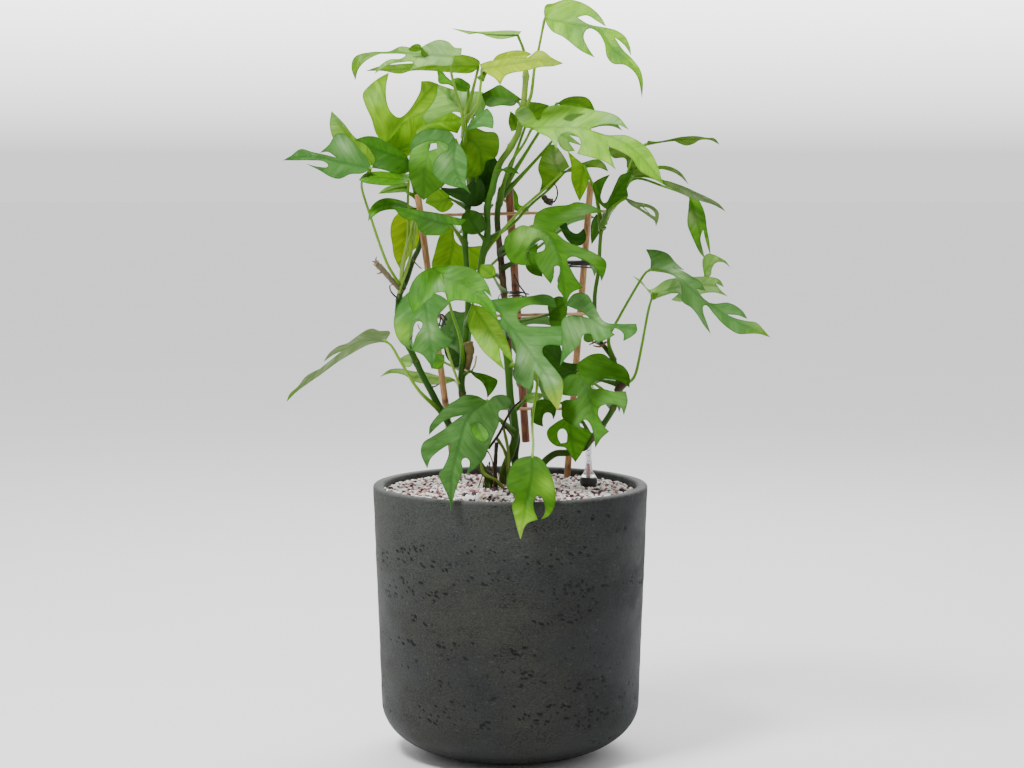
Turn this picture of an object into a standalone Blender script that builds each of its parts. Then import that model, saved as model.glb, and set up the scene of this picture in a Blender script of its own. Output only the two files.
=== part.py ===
"""Mini monstera on a bamboo trellis, in a concrete pot with granulate and a water gauge.

Lengths are millimetres and become metres in mm(). The origin is the centre of the pot's
underside, Z is up and the front of the plant looks along -Y. Stems and leaves are drawn on
an upright front drawing through the pot's axis, as (x, z) or (x, z, y), and every point
then slides along its line of sight to its own depth y, so a change of depth keeps the
front view.
"""

from math import cos, hypot, pi, radians, sin, sqrt
from random import Random

import bmesh
import bpy
from mathutils import Vector
from mathutils.geometry import delaunay_2d_cdt

# Where the front drawing is looked at from
EYE = (2, -2600, 654)

# Pot
RIM_RADIUS = 150
POT_HEIGHT = 295
WAIST_RADIUS = 141.5
CORNER_WIDTH = 82
CORNER_HEIGHT = 55
POT_WALL = 12
POT_FLOOR = 18
RIM_ROUND = 4
TURN_STEPS = 36
FINE_TURN_STEPS = 16

# Granulate
FILL_HEIGHT = 286
FILL_RINGS = 6
GRAIN_RELIEF = 1.5
MOUND = 3
SEAT = 0.3

# Water gauge
GAUGE_AT = (86.6, 31)
COLLAR_RADIUS = 9.8
GAUGE_DEPTH = 200

# Trellis
CANE_DEPTH_TOP = 50
CANE_DEPTH_FOOT = 98
CANE_BURY = 215
CROSSBAR_RADIUS = 1.9
CROSSBAR_GAP = 0.4
WIRE_RADIUS = 0.7

# Vines
STEM_BURY = 226
PETIOLE_RADIUS = 1.7
BLADE = 0.8
RIB_HOLD = 6
STEM_SIDES = 2
PETIOLE_SIDES = 0

CANES = {
    "trellis_cane_left": dict(top=(-100, 610), foot=(-60, 299), radius=3.8),
    "trellis_cane_middle": dict(top=(-2, 623), foot=(17, 341), radius=4.6),
    "trellis_cane_right": dict(top=(87, 624), foot=(62, 301), radius=3.8),
}

CROSSBARS = {
    "trellis_crossbar_top": ((-116, 587), (108, 592)),
    "trellis_crossbar_middle": ((-98, 477), (88, 481)),
    "trellis_crossbar_bottom": ((-80, 377), (78, 377)),
}

# Wire ties: cane, height and how far the loop reaches to the left
TIES = {
    "wire_tie_right": ("trellis_cane_right", 536, 14),
    "wire_tie_middle": ("trellis_cane_middle", 504, 8),
    "wire_tie_left": ("trellis_cane_left", 462, 9),
}

# Stems: foot in the granulate as (x, y), then points of the front drawing with depth. They
# taper from radius to top_radius.
STEMS = {
    "vine_left": dict(foot=(-23, 24), radius=4.4, top_radius=2.4, path=(
        (-28, 307, 20), (-44, 326, 14), (-61, 350, 6), (-76, 376, 0), (-88, 399, 0), (-97, 416, 4),
        (-107, 438, 8), (-116, 455, 12), (-122, 480, 18), (-120, 502, 26), (-113, 517, 38),
        (-106, 538, 58), (-99, 553, 73), (-95, 575, 76), (-101, 605, 66), (-106, 632, 50),
        (-103, 660, 44))),
    "vine_inner_left": dict(foot=(-24, -4), radius=4.4, top_radius=2.4, path=(
        (-28, 307, -6), (-39, 327, -10), (-49, 372, -12), (-53, 400, -14), (-52, 424, -12),
        (-48, 460, -8), (-46, 492, -4), (-48, 538, 2), (-49, 569, 6), (-44, 613, 16), (-48, 642, 28),
        (-50, 668, 26), (-48, 692, 12))),
    "vine_centre": dict(foot=(-8, 18), radius=4.6, top_radius=3.2, path=(
        (-6, 312, 14), (1, 330, 10), (5, 346, 6), (4, 368, 5), (0, 388, 4), (-3, 430, 4),
        (-9, 452, 5), (-21, 478, 6), (-33, 505, 6),
        (-31, 538, 6), (-25, 566, 4), (-25, 595, 0), (-20, 615, -2), (-12, 642, -4),
        (-1, 659, -6), (9, 678, -8), (14, 706, -10), (17, 738, -12))),
    "vine_middle": dict(foot=(6, 40), radius=4.2, top_radius=3.2, path=(
        (5, 325, 38), (7, 345, 36), (2, 367, 34), (-1, 400, 34), (-1, 426, 34),
        (-4, 470, 34), (-7, 505, 34), (-10, 538, 34), (-13, 566, 34), (-14, 590, 32),
        (-9, 618, 28))),
    "vine_right": dict(foot=(28, -10), radius=4.2, top_radius=1.9, path=(
        (34, 314, -12), (48, 327, -14), (64, 329, -14), (81, 335, -12), (91, 347, -10),
        (103, 362, -8), (113, 379, -8), (119, 398, -8), (116, 416, -8), (112, 431, -6),
        (104, 443, -4), (95, 455, -2), (92, 478, 2), (92, 503, 6), (96, 530, 8),
        (98, 566, 4), (104, 590, -4))),
}

# Leaves, in the order of the front view from top to bottom. root is a height on the stem or a
# point, via bends the petiole, rib is the midrib from base to tip, lean turns the blade about
# it and edge is the cut outline from the base round to the base again.
LEAVES = {
    "crown_right": dict(
        vine="vine_centre", root=698, via=((22, 716, -12), (26, 746, -13), (30, 764, -14)), lean=0.35,
        rib=((37, 799, -16), (72, 792, -34), (94, 788, -46), (110, 767, -58), (128, 752, -67), (139, 737, -74),
             (142, 715, -78)),
        edge=((37, 799), (38, 813), (46, 815), (60, 819), (76, 816), (91, 807), (99, 798),
              (103, 790), (93, 796), (82, 802), (72, 800), (84, 793), (103, 789), (114, 786),
              (123, 780), (129, 768), (130, 759), (123, 770), (112, 779), (121, 766),
              (132, 755), (140, 744), (143, 732), (142, 714), (136, 738), (124, 749),
              (110, 751), (104, 758), (101, 773), (93, 785), (84, 788), (79, 781), (83, 769),
              (91, 757), (75, 765), (57, 779), (44, 786))),
    "crown_edge_on": dict(
        vine="vine_centre", root=736, via=((15, 762, -10),), lean=-4.5,
        rib=((8, 781, -6), (-25, 782, 6), (-62, 788, 22)),
        edge=((8, 781), (12, 785), (-2, 786), (-22, 785), (-40, 785), (-62, 788), (-44, 782),
              (-33, 783), (-25, 780), (-12, 777), (-2, 778))),
    "young_lime": dict(
        vine="vine_inner_left", root=690, via=((-36, 706, -22), (-32, 728, -30)), lean=0.7,
        rib=((-31, 745, -34), (0, 750, -50), (28, 754, -62), (57, 751, -74)),
        edge=((-31, 745), (-33, 750), (-24, 753), (-14, 755), (-4, 757), (8, 757), (18, 757),
              (23, 760), (28, 764), (35, 764), (45, 757), (57, 751), (46, 748), (32, 747),
              (16, 743), (3, 741), (-5, 738), (-11, 728), (-17, 735), (-25, 740))),
    "lime_behind": dict(
        vine="vine_inner_left", root=(-32, 734, -32), via=(), lean=0.3,
        rib=((-20, 752, -22), (0, 759, -28), (23, 761, -36)),
        edge=((-20, 752), (-15, 759), (-5, 763), (7, 765), (16, 764), (23, 761), (14, 756),
              (2, 754))),
    "crown_left_pale": dict(
        vine="vine_inner_left", root=672, via=((-52, 696, -18), (-60, 725, -26), (-64, 746, -32)),
        lean=-0.8,
        rib=((-60, 758, -34), (-92, 760, -46), (-130, 762, -60), (-158, 757, -72), (-167, 734, -80)),
        edge=((-60, 758), (-53, 759), (-52, 767), (-60, 768), (-67, 774), (-78, 776), (-89, 772),
              (-97, 768), (-108, 768), (-118, 769), (-130, 764), (-150, 763), (-167, 758),
              (-171, 747), (-167, 733), (-163, 746), (-152, 756), (-131, 763), (-113, 760),
              (-118, 756), (-130, 755), (-141, 748), (-146, 740), (-132, 749), (-118, 752),
              (-104, 751), (-108, 744), (-96, 747), (-84, 749), (-72, 748), (-63, 750))),
    "crown_left_fold": dict(
        vine="vine_inner_left", root=(-93, 761, -46), via=(), lean=0.5,
        rib=((-95, 766, -53), (-102, 768, -56), (-110, 765, -58)),
        edge=((-95, 766), (-97, 771), (-104, 771), (-110, 766), (-107, 764), (-99, 764))),
    "crown_left_under": dict(
        vine="vine_inner_left", root=706, via=((-40, 724, -8),), lean=1.6,
        rib=((-34, 748, -4), (-80, 748, 8), (-120, 745, 18), (-155, 743, 30)),
        edge=((-34, 748), (-33, 753), (-51, 760), (-72, 757), (-96, 752), (-122, 750),
              (-140, 748), (-155, 743), (-138, 743), (-118, 740), (-107, 743), (-84, 743),
              (-60, 741), (-42, 741))),
    "large_backlit": dict(
        vine="vine_left", root=640, via=((-118, 646, 52),), lean=0.25,
        rib=((-135, 664, 50), (-122, 686, 42), (-104, 702, 34), (-80, 731, 20)),
        edge=((-135, 664), (-144, 674), (-150, 692), (-157, 708), (-159, 718), (-151, 728),
              (-142, 735), (-131, 741), (-134, 725), (-133, 709), (-128, 698), (-120, 693),
              (-112, 698), (-103, 710), (-97, 722), (-96, 732), (-87, 732), (-78, 729),
              (-80, 716), (-87, 704), (-98, 696), (-110, 690), (-122, 678))),
    "folded_pale": dict(
        vine="vine_inner_left", root=676, via=((-44, 684, 12),), lean=0.3,
        rib=((-40, 694, 30), (-58, 708, 40), (-79, 728, 50)),
        edge=((-40, 694), (-31, 698), (-26, 707), (-28, 719), (-44, 721), (-60, 723),
              (-79, 729), (-81, 715), (-88, 704), (-96, 694), (-90, 687), (-76, 693),
              (-60, 699))),
    "dark_hump": dict(
        vine="vine_inner_left", root=708, via=(), lean=0.4,
        rib=((-45, 722, 8), (-62, 731, 22), (-80, 747, 36)),
        edge=((-45, 722), (-43, 727), (-48, 732), (-57, 736), (-65, 733), (-72, 741),
              (-80, 748), (-78, 738), (-77, 730), (-66, 728), (-56, 722))),
    "dark_under_lime": dict(
        vine="vine_centre", root=704, via=(), lean=-0.4,
        rib=((8, 710, -2), (-10, 714, 4), (-30, 716, 10)),
        edge=((8, 710), (13, 712), (5, 718), (-4, 724), (-11, 728), (-20, 724), (-31, 718),
              (-28, 710), (-25, 705), (-10, 706), (4, 706))),
    "far_left_top": dict(
        vine="vine_left", root=508,
        via=((-125, 520, 16), (-136, 541, 8), (-152, 588, 4), (-161, 622, 2)), lean=-0.5,
        rib=((-150, 638, -8), (-184, 645, -22), (-214, 651, -38), (-246, 647, -52)),
        edge=((-150, 638), (-156, 650), (-166, 662), (-173, 670), (-181, 676), (-188, 675),
              (-196, 664), (-206, 655), (-197, 656), (-188, 650), (-200, 653), (-214, 656),
              (-227, 659), (-237, 652), (-246, 647), (-232, 647), (-217, 647), (-200, 645),
              (-197, 641), (-207, 640), (-220, 643), (-206, 636), (-194, 629), (-185, 627),
              (-173, 632), (-160, 633))),
    "olive_spike": dict(
        vine="vine_left", root=628, via=((-124, 634, 52),), lean=0.3,
        rib=((-148, 642, 42), (-168, 664, 38), (-193, 699, 30)),
        edge=((-148, 642), (-142, 654), (-149, 664), (-160, 667), (-168, 672), (-180, 687),
              (-193, 700), (-195, 686), (-192, 672), (-181, 656), (-164, 645))),
    "left_green": dict(
        vine="vine_left", root=650, via=(), lean=0.5,
        rib=((-109, 646, 22), (-134, 655, 12), (-169, 669, 4)),
        edge=((-109, 646), (-112, 652), (-124, 660), (-135, 667), (-144, 672), (-155, 673),
              (-169, 669), (-158, 665), (-150, 656), (-146, 648), (-150, 639), (-138, 637),
              (-124, 633), (-111, 634), (-106, 640))),
    "left_edge_on": dict(
        vine="vine_left", root=508, via=((-118, 530, 28), (-111, 562, 40), (-111, 600, 34)),
        lean=-2.2,
        rib=((-110, 625, 20), (-136, 628, -2), (-164, 627, -20)),
        edge=((-110, 625), (-108, 629), (-120, 632), (-140, 635), (-156, 633), (-164, 626),
              (-158, 623), (-146, 621), (-130, 620), (-116, 622))),
    "left_sliver": dict(
        vine="vine_left", root=608, via=((-112, 613, 52),), lean=1.5,
        rib=((-111, 618, 34), (-126, 616, 30), (-143, 611, 24)),
        edge=((-111, 618), (-109, 623), (-122, 621), (-134, 618), (-143, 611), (-128, 612),
              (-112, 613))),
    "left_arched": dict(
        vine="vine_left", root=590, via=((-111, 598, 60),), lean=-0.9,
        rib=((-107, 594, 42), (-128, 600, 18), (-148, 594, -4), (-153, 581, -14)),
        edge=((-107, 594), (-111, 600), (-123, 605), (-137, 606), (-147, 601), (-153, 592),
              (-154, 582), (-148, 587), (-140, 592), (-128, 594), (-115, 592))),
    "over_crossbar": dict(
        vine="vine_inner_left", root=556, via=(), lean=0.6,
        rib=((-64, 577, -8), (-88, 583, -14), (-127, 597, -24)),
        edge=((-64, 577), (-54, 577), (-48, 583), (-62, 586), (-78, 590), (-98, 593),
              (-112, 595), (-127, 597), (-121, 589), (-112, 583), (-103, 581), (-99, 572),
              (-93, 567), (-84, 566), (-74, 567), (-68, 572))),
    "yellow_hanging": dict(
        vine="vine_left", root=594, via=((-103, 596, 84),), lean=0.4,
        rib=((-108, 590, 98), (-115, 562, 104), (-119, 529, 96)),
        edge=((-108, 590), (-117, 592), (-126, 585), (-130, 572), (-128, 556), (-126, 543),
              (-119, 528), (-113, 538), (-108, 547), (-99, 556), (-97, 575), (-100, 586))),
    "yellow_behind": dict(
        vine="vine_inner_left", root=575, via=((-56, 570, 40),), lean=0.3,
        rib=((-64, 584, 98), (-62, 556, 108), (-72, 516, 100)),
        edge=((-64, 584), (-72, 576), (-77, 565), (-82, 548), (-85, 531), (-72, 515),
              (-52, 519), (-35, 530), (-29, 543), (-30, 555), (-45, 554), (-57, 557))),
    "dark_left_inner": dict(
        vine="vine_left", root=656, via=(), lean=-0.3,
        rib=((-86, 670, 26), (-92, 640, 14), (-94, 606, 6)),
        edge=((-86, 670), (-97, 668), (-107, 657), (-110, 640), (-108, 624), (-102, 612),
              (-94, 604), (-84, 612), (-72, 620), (-63, 640), (-60, 658), (-66, 668)),
        holes=(((-88, 657), (-79, 660), (-80, 667), (-87, 664)),)),
    "olive_backlit": dict(
        vine="vine_left", root=660, via=(), lean=0.2,
        rib=((-102, 668, 60), (-98, 684, 66), (-58, 690, 70)),
        edge=((-102, 668), (-106, 655), (-118, 648), (-136, 667), (-124, 683), (-108, 697),
              (-86, 705), (-66, 700), (-50, 691), (-57, 676), (-76, 680), (-93, 678))),
    "ovate_front": dict(
        vine="vine_inner_left", root=644, via=(), lean=0.35,
        rib=((-59, 669, -22), (-61, 646, -34), (-53, 622, -40), (-43, 611, -42)),
        edge=((-59, 669), (-64, 677), (-80, 681), (-95, 679), (-105, 671), (-109, 658),
              (-98, 664), (-86, 668), (-74, 667), (-67, 661), (-77, 653), (-84, 641),
              (-82, 631), (-71, 622), (-59, 618), (-50, 617), (-43, 611), (-48, 622),
              (-47, 635), (-47, 650), (-52, 660))),
    "bluish_triangle": dict(
        vine="vine_inner_left", root=662, via=(), lean=0.9,
        rib=((-48, 679, -14), (-36, 690, -22), (-25, 703, -30)),
        edge=((-48, 679), (-42, 689), (-33, 698), (-25, 703), (-20, 697), (-18, 688),
              (-19, 681), (-30, 683), (-40, 681))),
    "olive_centre": dict(
        vine="vine_inner_left", root=650, via=(), lean=-0.3,
        rib=((-50, 674, 12), (-34, 660, 16), (-30, 634, 18)),
        edge=((-50, 674), (-40, 682), (-27, 678), (-15, 676), (-12, 662), (-16, 650),
              (-26, 646), (-30, 634), (-39, 628), (-54, 636), (-56, 658))),
    "small_yellow": dict(
        vine="vine_inner_left", root=596, via=(), lean=0.4,
        rib=((-66, 606, 36), (-78, 603, 40), (-92, 602, 44)),
        edge=((-66, 606), (-66, 611), (-76, 616), (-83, 615), (-90, 608), (-92, 601),
              (-84, 597), (-74, 591), (-66, 594), (-61, 600))),
    "dark_inner_centre": dict(
        vine="vine_centre", root=596, via=((-20, 600, 30),), lean=0.3,
        rib=((-30, 604, 34), (-28, 624, 42), (-20, 648, 46)),
        edge=((-30, 604), (-40, 606), (-46, 620), (-44, 638), (-34, 648), (-20, 652),
              (-14, 646), (-14, 626), (-20, 606))),
    "dark_thin_lobe": dict(
        vine="vine_centre", root=634, via=(), lean=0.8,
        rib=((-9, 637, -14), (0, 637, -16), (10, 632, -18)),
        edge=((-9, 637), (-4, 640), (3, 639), (10, 632), (2, 634), (-5, 634))),
    "dark_below_crossbar": dict(
        vine="vine_centre", root=560, via=(), lean=0.3,
        rib=((-34, 568, -4), (-41, 580, -4), (-46, 592, -4)),
        edge=((-34, 568), (-44, 567), (-52, 572), (-53, 586), (-46, 593), (-36, 592),
              (-29, 586), (-28, 572))),
    "behind_right_cane": dict(
        vine="vine_right", root=574, via=(), lean=0.3,
        rib=((98, 586, 14), (93, 574, 20), (88, 556, 26)),
        edge=((98, 586), (103, 588), (100, 577), (95, 566), (88, 556), (87, 568), (88, 580),
              (93, 589))),
    "deep_shade": dict(
        vine="vine_inner_left", root=604, via=(), lean=0.2,
        rib=((-36, 628, 6), (-48, 612, 5), (-76, 617, 8)),
        edge=((-36, 628), (-47, 620), (-62, 617), (-77, 618), (-67, 610), (-52, 602),
              (-41, 597), (-31, 600), (-27, 613), (-30, 624))),
    "right_light": dict(
        vine="vine_middle", root=600, via=((-2, 639, 6), (14, 664, -18)), lean=0.5,
        rib=((23, 681, -34), (60, 683, -52), (97, 677, -66), (134, 658, -84), (165, 623, -104)),
        edge=((23, 681), (14, 683), (8, 691), (5, 699), (15, 706), (24, 699), (31, 690),
              (34, 698), (42, 705), (58, 706), (75, 704), (90, 701), (103, 699), (116, 694),
              (128, 680), (117, 685), (103, 686), (93, 684), (87, 681), (95, 676), (108, 674),
              (124, 674), (138, 668), (150, 658), (159, 642), (165, 622), (150, 630),
              (140, 636), (131, 649), (118, 657), (105, 662), (109, 651), (114, 637),
              (103, 645), (88, 650), (72, 654), (76, 664), (74, 671), (63, 677), (54, 674),
              (50, 659), (42, 671), (32, 676)),
        holes=(((57, 691), (63, 696), (74, 697), (80, 697), (70, 692), (66, 689)),)),
    "olive_basal": dict(
        vine="vine_middle", root=610, via=((6, 655, 20),), lean=-0.4,
        rib=((20, 694, 16), (30, 702, 18), (42, 705, 20)),
        edge=((20, 694), (15, 700), (19, 710), (31, 709), (42, 706), (36, 698), (30, 691))),
    "dark_basal": dict(
        vine="vine_centre", root=662, via=(), lean=0.4,
        rib=((8, 680, 8), (4, 690, 12), (0, 700, 14)),
        edge=((8, 680), (1, 678), (-2, 688), (0, 700), (9, 692), (13, 682))),
    "dark_above_right": dict(
        vine="vine_middle", root=612, via=((20, 660, 24), (40, 692, 26)), lean=-0.5,
        rib=((50, 708, 24), (70, 710, 20), (91, 701, 14)),
        edge=((50, 708), (60, 714), (72, 716), (83, 714), (88, 708), (91, 701), (75, 702),
              (60, 704))),
    "striped_pale": dict(
        vine="vine_middle", root=606, via=((30, 650, 30),), lean=0.3,
        rib=((52, 676, 30), (63, 671, 28), (79, 661, 26)),
        edge=((52, 676), (53, 682), (65, 680), (77, 671), (64, 674), (79, 662), (63, 667),
              (70, 657), (60, 657), (52, 665))),
    "olive_oval": dict(
        vine="vine_centre", root=549, via=((-6, 574, 14), (14, 596, 16), (38, 617, 18)),
        lean=0.2,
        rib=((55, 633, 18), (48, 645, 20), (46, 664, 22)),
        edge=((55, 633), (48, 623), (40, 616), (31, 612), (34, 624), (30, 638), (32, 647),
              (36, 656), (42, 663), (47, 664), (54, 657), (60, 648), (64, 640))),
    "yellow_right": dict(
        vine="vine_right", root=572, via=((92, 612, 16),), lean=0.3,
        rib=((80, 641, 26), (76, 622, 28), (75, 604, 26)),
        edge=((80, 641), (70, 650), (62, 657), (66, 640), (66, 626), (70, 614), (75, 603),
              (81, 614), (85, 627))),
    "olive_edge_on": dict(
        vine="vine_centre", root=560, via=((2, 578, 22), (22, 599, 26), (42, 616, 28)),
        lean=-1.5,
        rib=((58, 634, 28), (80, 642, 34), (106, 635, 40)),
        edge=((58, 634), (66, 640), (80, 645), (94, 648), (101, 644), (106, 635), (96, 639),
              (82, 639), (68, 635))),
    "far_right_edge_on": dict(
        vine="vine_right", root=586, via=((122, 620, -10), (134, 652, -16)), lean=2.0,
        rib=((146, 664, -22), (172, 668, -34), (200, 669, -46), (226, 664, -58)),
        edge=((146, 664), (149, 668), (158, 667), (170, 669), (184, 672), (200, 673),
              (214, 671), (219, 671), (226, 664), (215, 669), (205, 669), (198, 665), (190, 663),
              (183, 665), (176, 668), (160, 666))),
    "right_drooping": dict(
        vine="vine_right", root=588, via=((118, 604, -10),), lean=1.1,
        rib=((131, 629, -18), (160, 629, -38), (195, 613, -60), (233, 592, -80)),
        edge=((131, 629), (126, 640), (124, 649), (111, 650), (105, 664), (116, 661),
              (129, 656), (137, 643), (148, 636), (160, 641), (173, 640), (184, 634),
              (193, 621), (182, 631), (171, 636), (160, 637), (157, 629), (173, 624),
              (190, 618), (203, 612), (216, 606), (226, 600),
              (233, 592), (220, 599), (207, 603), (194, 607), (182, 613), (168, 620),
              (154, 627), (141, 629))),
    "right_hanging": dict(
        vine="vine_right", root=584, via=((116, 604, 2), (134, 627, -6), (166, 619, -26)),
        lean=0.5,
        rib=((194, 609, -42), (199, 590, -50), (205, 572, -54), (211, 542, -56)),
        edge=((194, 609), (193, 596), (192, 578), (196, 567), (201, 556), (205, 548),
              (211, 541), (208, 553), (206, 563), (209, 572), (212, 560), (217, 544),
              (216, 558), (213, 574), (211, 588), (207, 599), (201, 607))),
    "right_forked": dict(
        vine="vine_right", root=580, via=(), lean=0.3,
        rib=((106, 594, -16), (114, 614, -22), (134, 636, -30)),
        edge=((106, 594), (99, 598), (91, 612), (90, 622), (98, 628), (108, 632), (103, 624),
              (99, 614), (98, 606), (102, 601), (108, 609), (114, 622), (119, 631), (127, 634),
              (134, 637), (130, 629), (126, 619), (127, 607), (119, 601), (112, 596))),
    "right_curled": dict(
        vine="vine_right", root=588, via=((113, 598, -28),), lean=0.7,
        rib=((124, 606, -38), (142, 598, -46), (157, 582, -54)),
        edge=((124, 606), (133, 603), (143, 601), (153, 598), (160, 592), (161, 586),
              (158, 576), (156, 582), (152, 585), (145, 590), (137, 595), (129, 600)),
        holes=(((139, 597), (149, 596), (156, 591), (157, 586), (148, 591)),)),
    "far_right_main": dict(
        vine="vine_right", root=430, via=((107, 452, -10), (115, 471, -16), (143, 520, -28)),
        lean=0.45,
        rib=((152, 529, -32), (178, 523, -44), (206, 500, -58), (240, 476, -74), (283, 455, -92)),
        edge=((152, 529), (152, 540), (147, 551), (160, 550), (171, 546), (180, 536),
              (189, 528), (177, 531), (188, 527), (198, 521), (206, 516), (212, 506),
              (202, 508), (208, 500), (214, 494), (222, 492), (236, 493), (246, 489),
              (254, 482), (258, 475), (248, 479), (236, 480), (245, 476), (257, 473),
              (268, 471), (276, 463), (283, 455), (270, 459), (259, 459), (248, 459),
              (240, 463), (230, 471), (221, 481), (211, 490), (210, 482), (213, 474),
              (218, 459), (210, 469), (203, 480), (196, 488), (187, 494), (186, 504),
              (184, 515), (176, 523), (164, 528))),
    "far_right_pale": dict(
        vine="vine_right", root=398, via=((128, 405, -8), (136, 414, -8), (142, 440, -10),
                                          (150, 484, -14)),
        lean=0.8,
        rib=((155, 501, -16), (182, 510, -10), (208, 512, -4), (232, 511, 4)),
        edge=((155, 501), (145, 511), (133, 522), (142, 517), (152, 507), (158, 510),
              (168, 517), (182, 520), (200, 521), (216, 521), (227, 518), (232, 510),
              (223, 514), (229, 506), (236, 500), (222, 504), (206, 502), (194, 496),
              (184, 494), (175, 496), (183, 503), (170, 503))),
    "far_right_upper": dict(
        vine="vine_right", root=(155, 500, -16), via=((184, 508, 8),), lean=0.4,
        rib=((211, 520, 22), (215, 532, 22), (239, 532, 22)),
        edge=((211, 520), (209, 530), (209, 541), (214, 546), (221, 545), (229, 541),
              (234, 538), (239, 531), (230, 537), (223, 536), (219, 530), (217, 522))),
    "centre_vivid": dict(
        vine="vine_middle", root=548, via=((6, 566, -6),), lean=-0.25,
        rib=((23, 576, -52), (42, 566, -62), (53, 542, -74), (57, 518, -82), (60, 490, -88)),
        edge=((23, 576), (27, 588), (36, 595), (50, 598), (62, 599), (71, 602), (83, 600),
              (101, 592), (80, 588), (66, 583), (55, 577), (49, 572), (55, 564), (64, 558),
              (77, 553), (91, 547), (104, 537), (103, 526), (99, 516), (95, 527), (82, 538),
              (63, 541), (67, 527), (73, 517), (79, 509), (66, 503), (60, 489), (57, 500),
              (51, 510), (54, 521), (52, 533), (48, 532), (47, 521), (44, 513), (36, 523),
              (28, 536), (26, 545), (37, 551), (36, 559), (30, 563), (23, 558), (18, 548),
              (17, 540), (22, 534), (10, 534), (0, 538), (-6, 550), (-6, 562), (2, 571),
              (13, 577))),
    "dark_under_top_lobe": dict(
        vine="vine_middle", root=530, via=((20, 546, 12),), lean=0.3,
        rib=((55, 572, 18), (66, 563, 20), (81, 562, 22)),
        edge=((55, 572), (52, 580), (60, 580), (64, 572), (72, 568), (80, 574), (82, 562),
              (76, 555), (66, 557))),
    "dark_in_sinus": dict(
        vine="vine_middle", root=545, via=((5, 550, 4),), lean=0.3,
        rib=((19, 547, -26), (23, 534, -32), (33, 523, -36)),
        edge=((19, 547), (20, 550), (30, 558), (29, 548), (28, 538), (34, 530), (35, 521),
              (24, 524), (17, 531), (17, 540))),
    "umbrella": dict(
        vine="vine_inner_left", root=426,
        via=((-54, 452, -38), (-64, 484, -74), (-69, 502, -82)), lean=0.4,
        rib=((-75, 523, -67), (-71, 520, -70), (-55, 515, -80), (-36, 502, -96), (-13, 473, -112)),
        edge=((-70, 503), (-82, 503), (-85, 499), (-92, 494), (-105, 480), (-111, 497),
              (-107, 514), (-98, 525), (-85, 531), (-70, 533), (-55, 533), (-42, 530),
              (-31, 522), (-24, 511), (-20, 499), (-29, 506), (-22, 497), (-17, 488),
              (-13, 472), (-24, 482), (-34, 491), (-44, 493), (-51, 495), (-62, 495), (-68, 492))),
    "pale_behind_umbrella": dict(
        vine="vine_middle", root=505, via=((-13, 512, 8),), lean=0.3,
        rib=((-18, 521, -22), (-24, 527, -26), (-32, 532, -30)),
        edge=((-18, 521), (-16, 528), (-20, 534), (-32, 534), (-33, 524), (-27, 519))),
    "bluish_lower_left": dict(
        vine="vine_left", root=482, via=((-112, 498, -6),), lean=0.3,
        rib=((-95, 508, -28), (-91, 478, -40), (-87, 450, -50), (-85, 422, -58)),
        edge=((-95, 508), (-108, 506), (-121, 492), (-127, 471), (-121, 451), (-109, 441),
              (-109, 458), (-103, 474), (-96, 471), (-103, 456), (-108, 441), (-96, 436), (-90, 429),
              (-85, 422), (-82, 432), (-78, 440), (-68, 445), (-62, 452), (-72, 459),
              (-79, 470), (-78, 480), (-70, 488), (-66, 493), (-73, 499), (-84, 504))),
    "front_yellow_green": dict(
        vine="vine_inner_left", root=470, via=(), lean=0.15,
        rib=((-41, 491, -66), (-28, 470, -78), (-13, 448, -88), (4, 427, -94)),
        edge=((-41, 491), (-30, 488), (-20, 480), (-11, 468), (-4, 453), (4, 427), (-6, 436),
              (-12, 444), (-10, 431), (-6, 419), (-18, 429), (-28, 438), (-38, 452),
              (-45, 465), (-46, 479))),
    "centre_bluish": dict(
        vine="vine_middle", root=456, via=(), lean=0.28,
        rib=((-10, 479, -38), (6, 459, -48), (28, 430, -62), (45, 404, -74), (52, 375, -84)),
        edge=((-10, 479), (-20, 487), (-21, 496), (-7, 498), (8, 499), (22, 500), (37, 502),
              (47, 498), (50, 488), (37, 490), (17, 489), (8, 481), (11, 471), (33, 467),
              (57, 468), (56, 446), (38, 446), (34, 440), (40, 431), (50, 419), (57, 408),
              (57, 394), (52, 375), (45, 384), (38, 394), (32, 410), (26, 418), (25, 407),
              (21, 397), (11, 403), (3, 412), (5, 427), (5, 445), (-2, 458), (-11, 468))),
    "dark_between": dict(
        vine="vine_middle", root=470, via=((18, 474, 6),), lean=0.3,
        rib=((42, 480, -18), (50, 486, -20), (60, 493, -22)),
        edge=((42, 480), (41, 491), (52, 500), (60, 497), (62, 486), (56, 464), (45, 466))),
    "right_folded": dict(
        vine="vine_right", root=454, via=(), lean=0.25,
        rib=((89, 476, -76), (101, 467, -80), (118, 467, -81), (136, 464, -82)),
        edge=((86, 476), (79, 482), (68, 487), (60, 490), (63, 496), (70, 503), (83, 502),
              (91, 490), (103, 472), (118, 470), (137, 470), (138, 462), (132, 456), (123, 451),
              (123, 459), (114, 465), (109, 463), (114, 458), (105, 453), (92, 451), (87, 459),
              (80, 458), (75, 447), (63, 435), (54, 424), (56, 440), (56, 458), (57, 475),
              (66, 479), (78, 478))),
    "lower_right_large": dict(
        vine="vine_right", root=384, via=((98, 400, -16),), lean=-0.2,
        rib=((74, 416, -42), (84, 396, -54), (92, 364, -70), (93, 336, -84)),
        edge=((74, 416), (72, 424), (80, 432), (90, 437), (101, 437), (112, 429), (124, 423),
              (130, 413), (130, 400), (120, 407), (105, 410), (93, 407), (88, 400),
              (100, 399), (113, 396), (126, 396), (128, 386), (124, 370), (120, 379),
              (108, 382), (98, 379), (96, 369), (102, 358), (108, 352), (100, 345), (93, 334),
              (91, 347), (87, 360), (81, 365), (76, 361), (79, 353), (68, 359), (57, 367),
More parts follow.
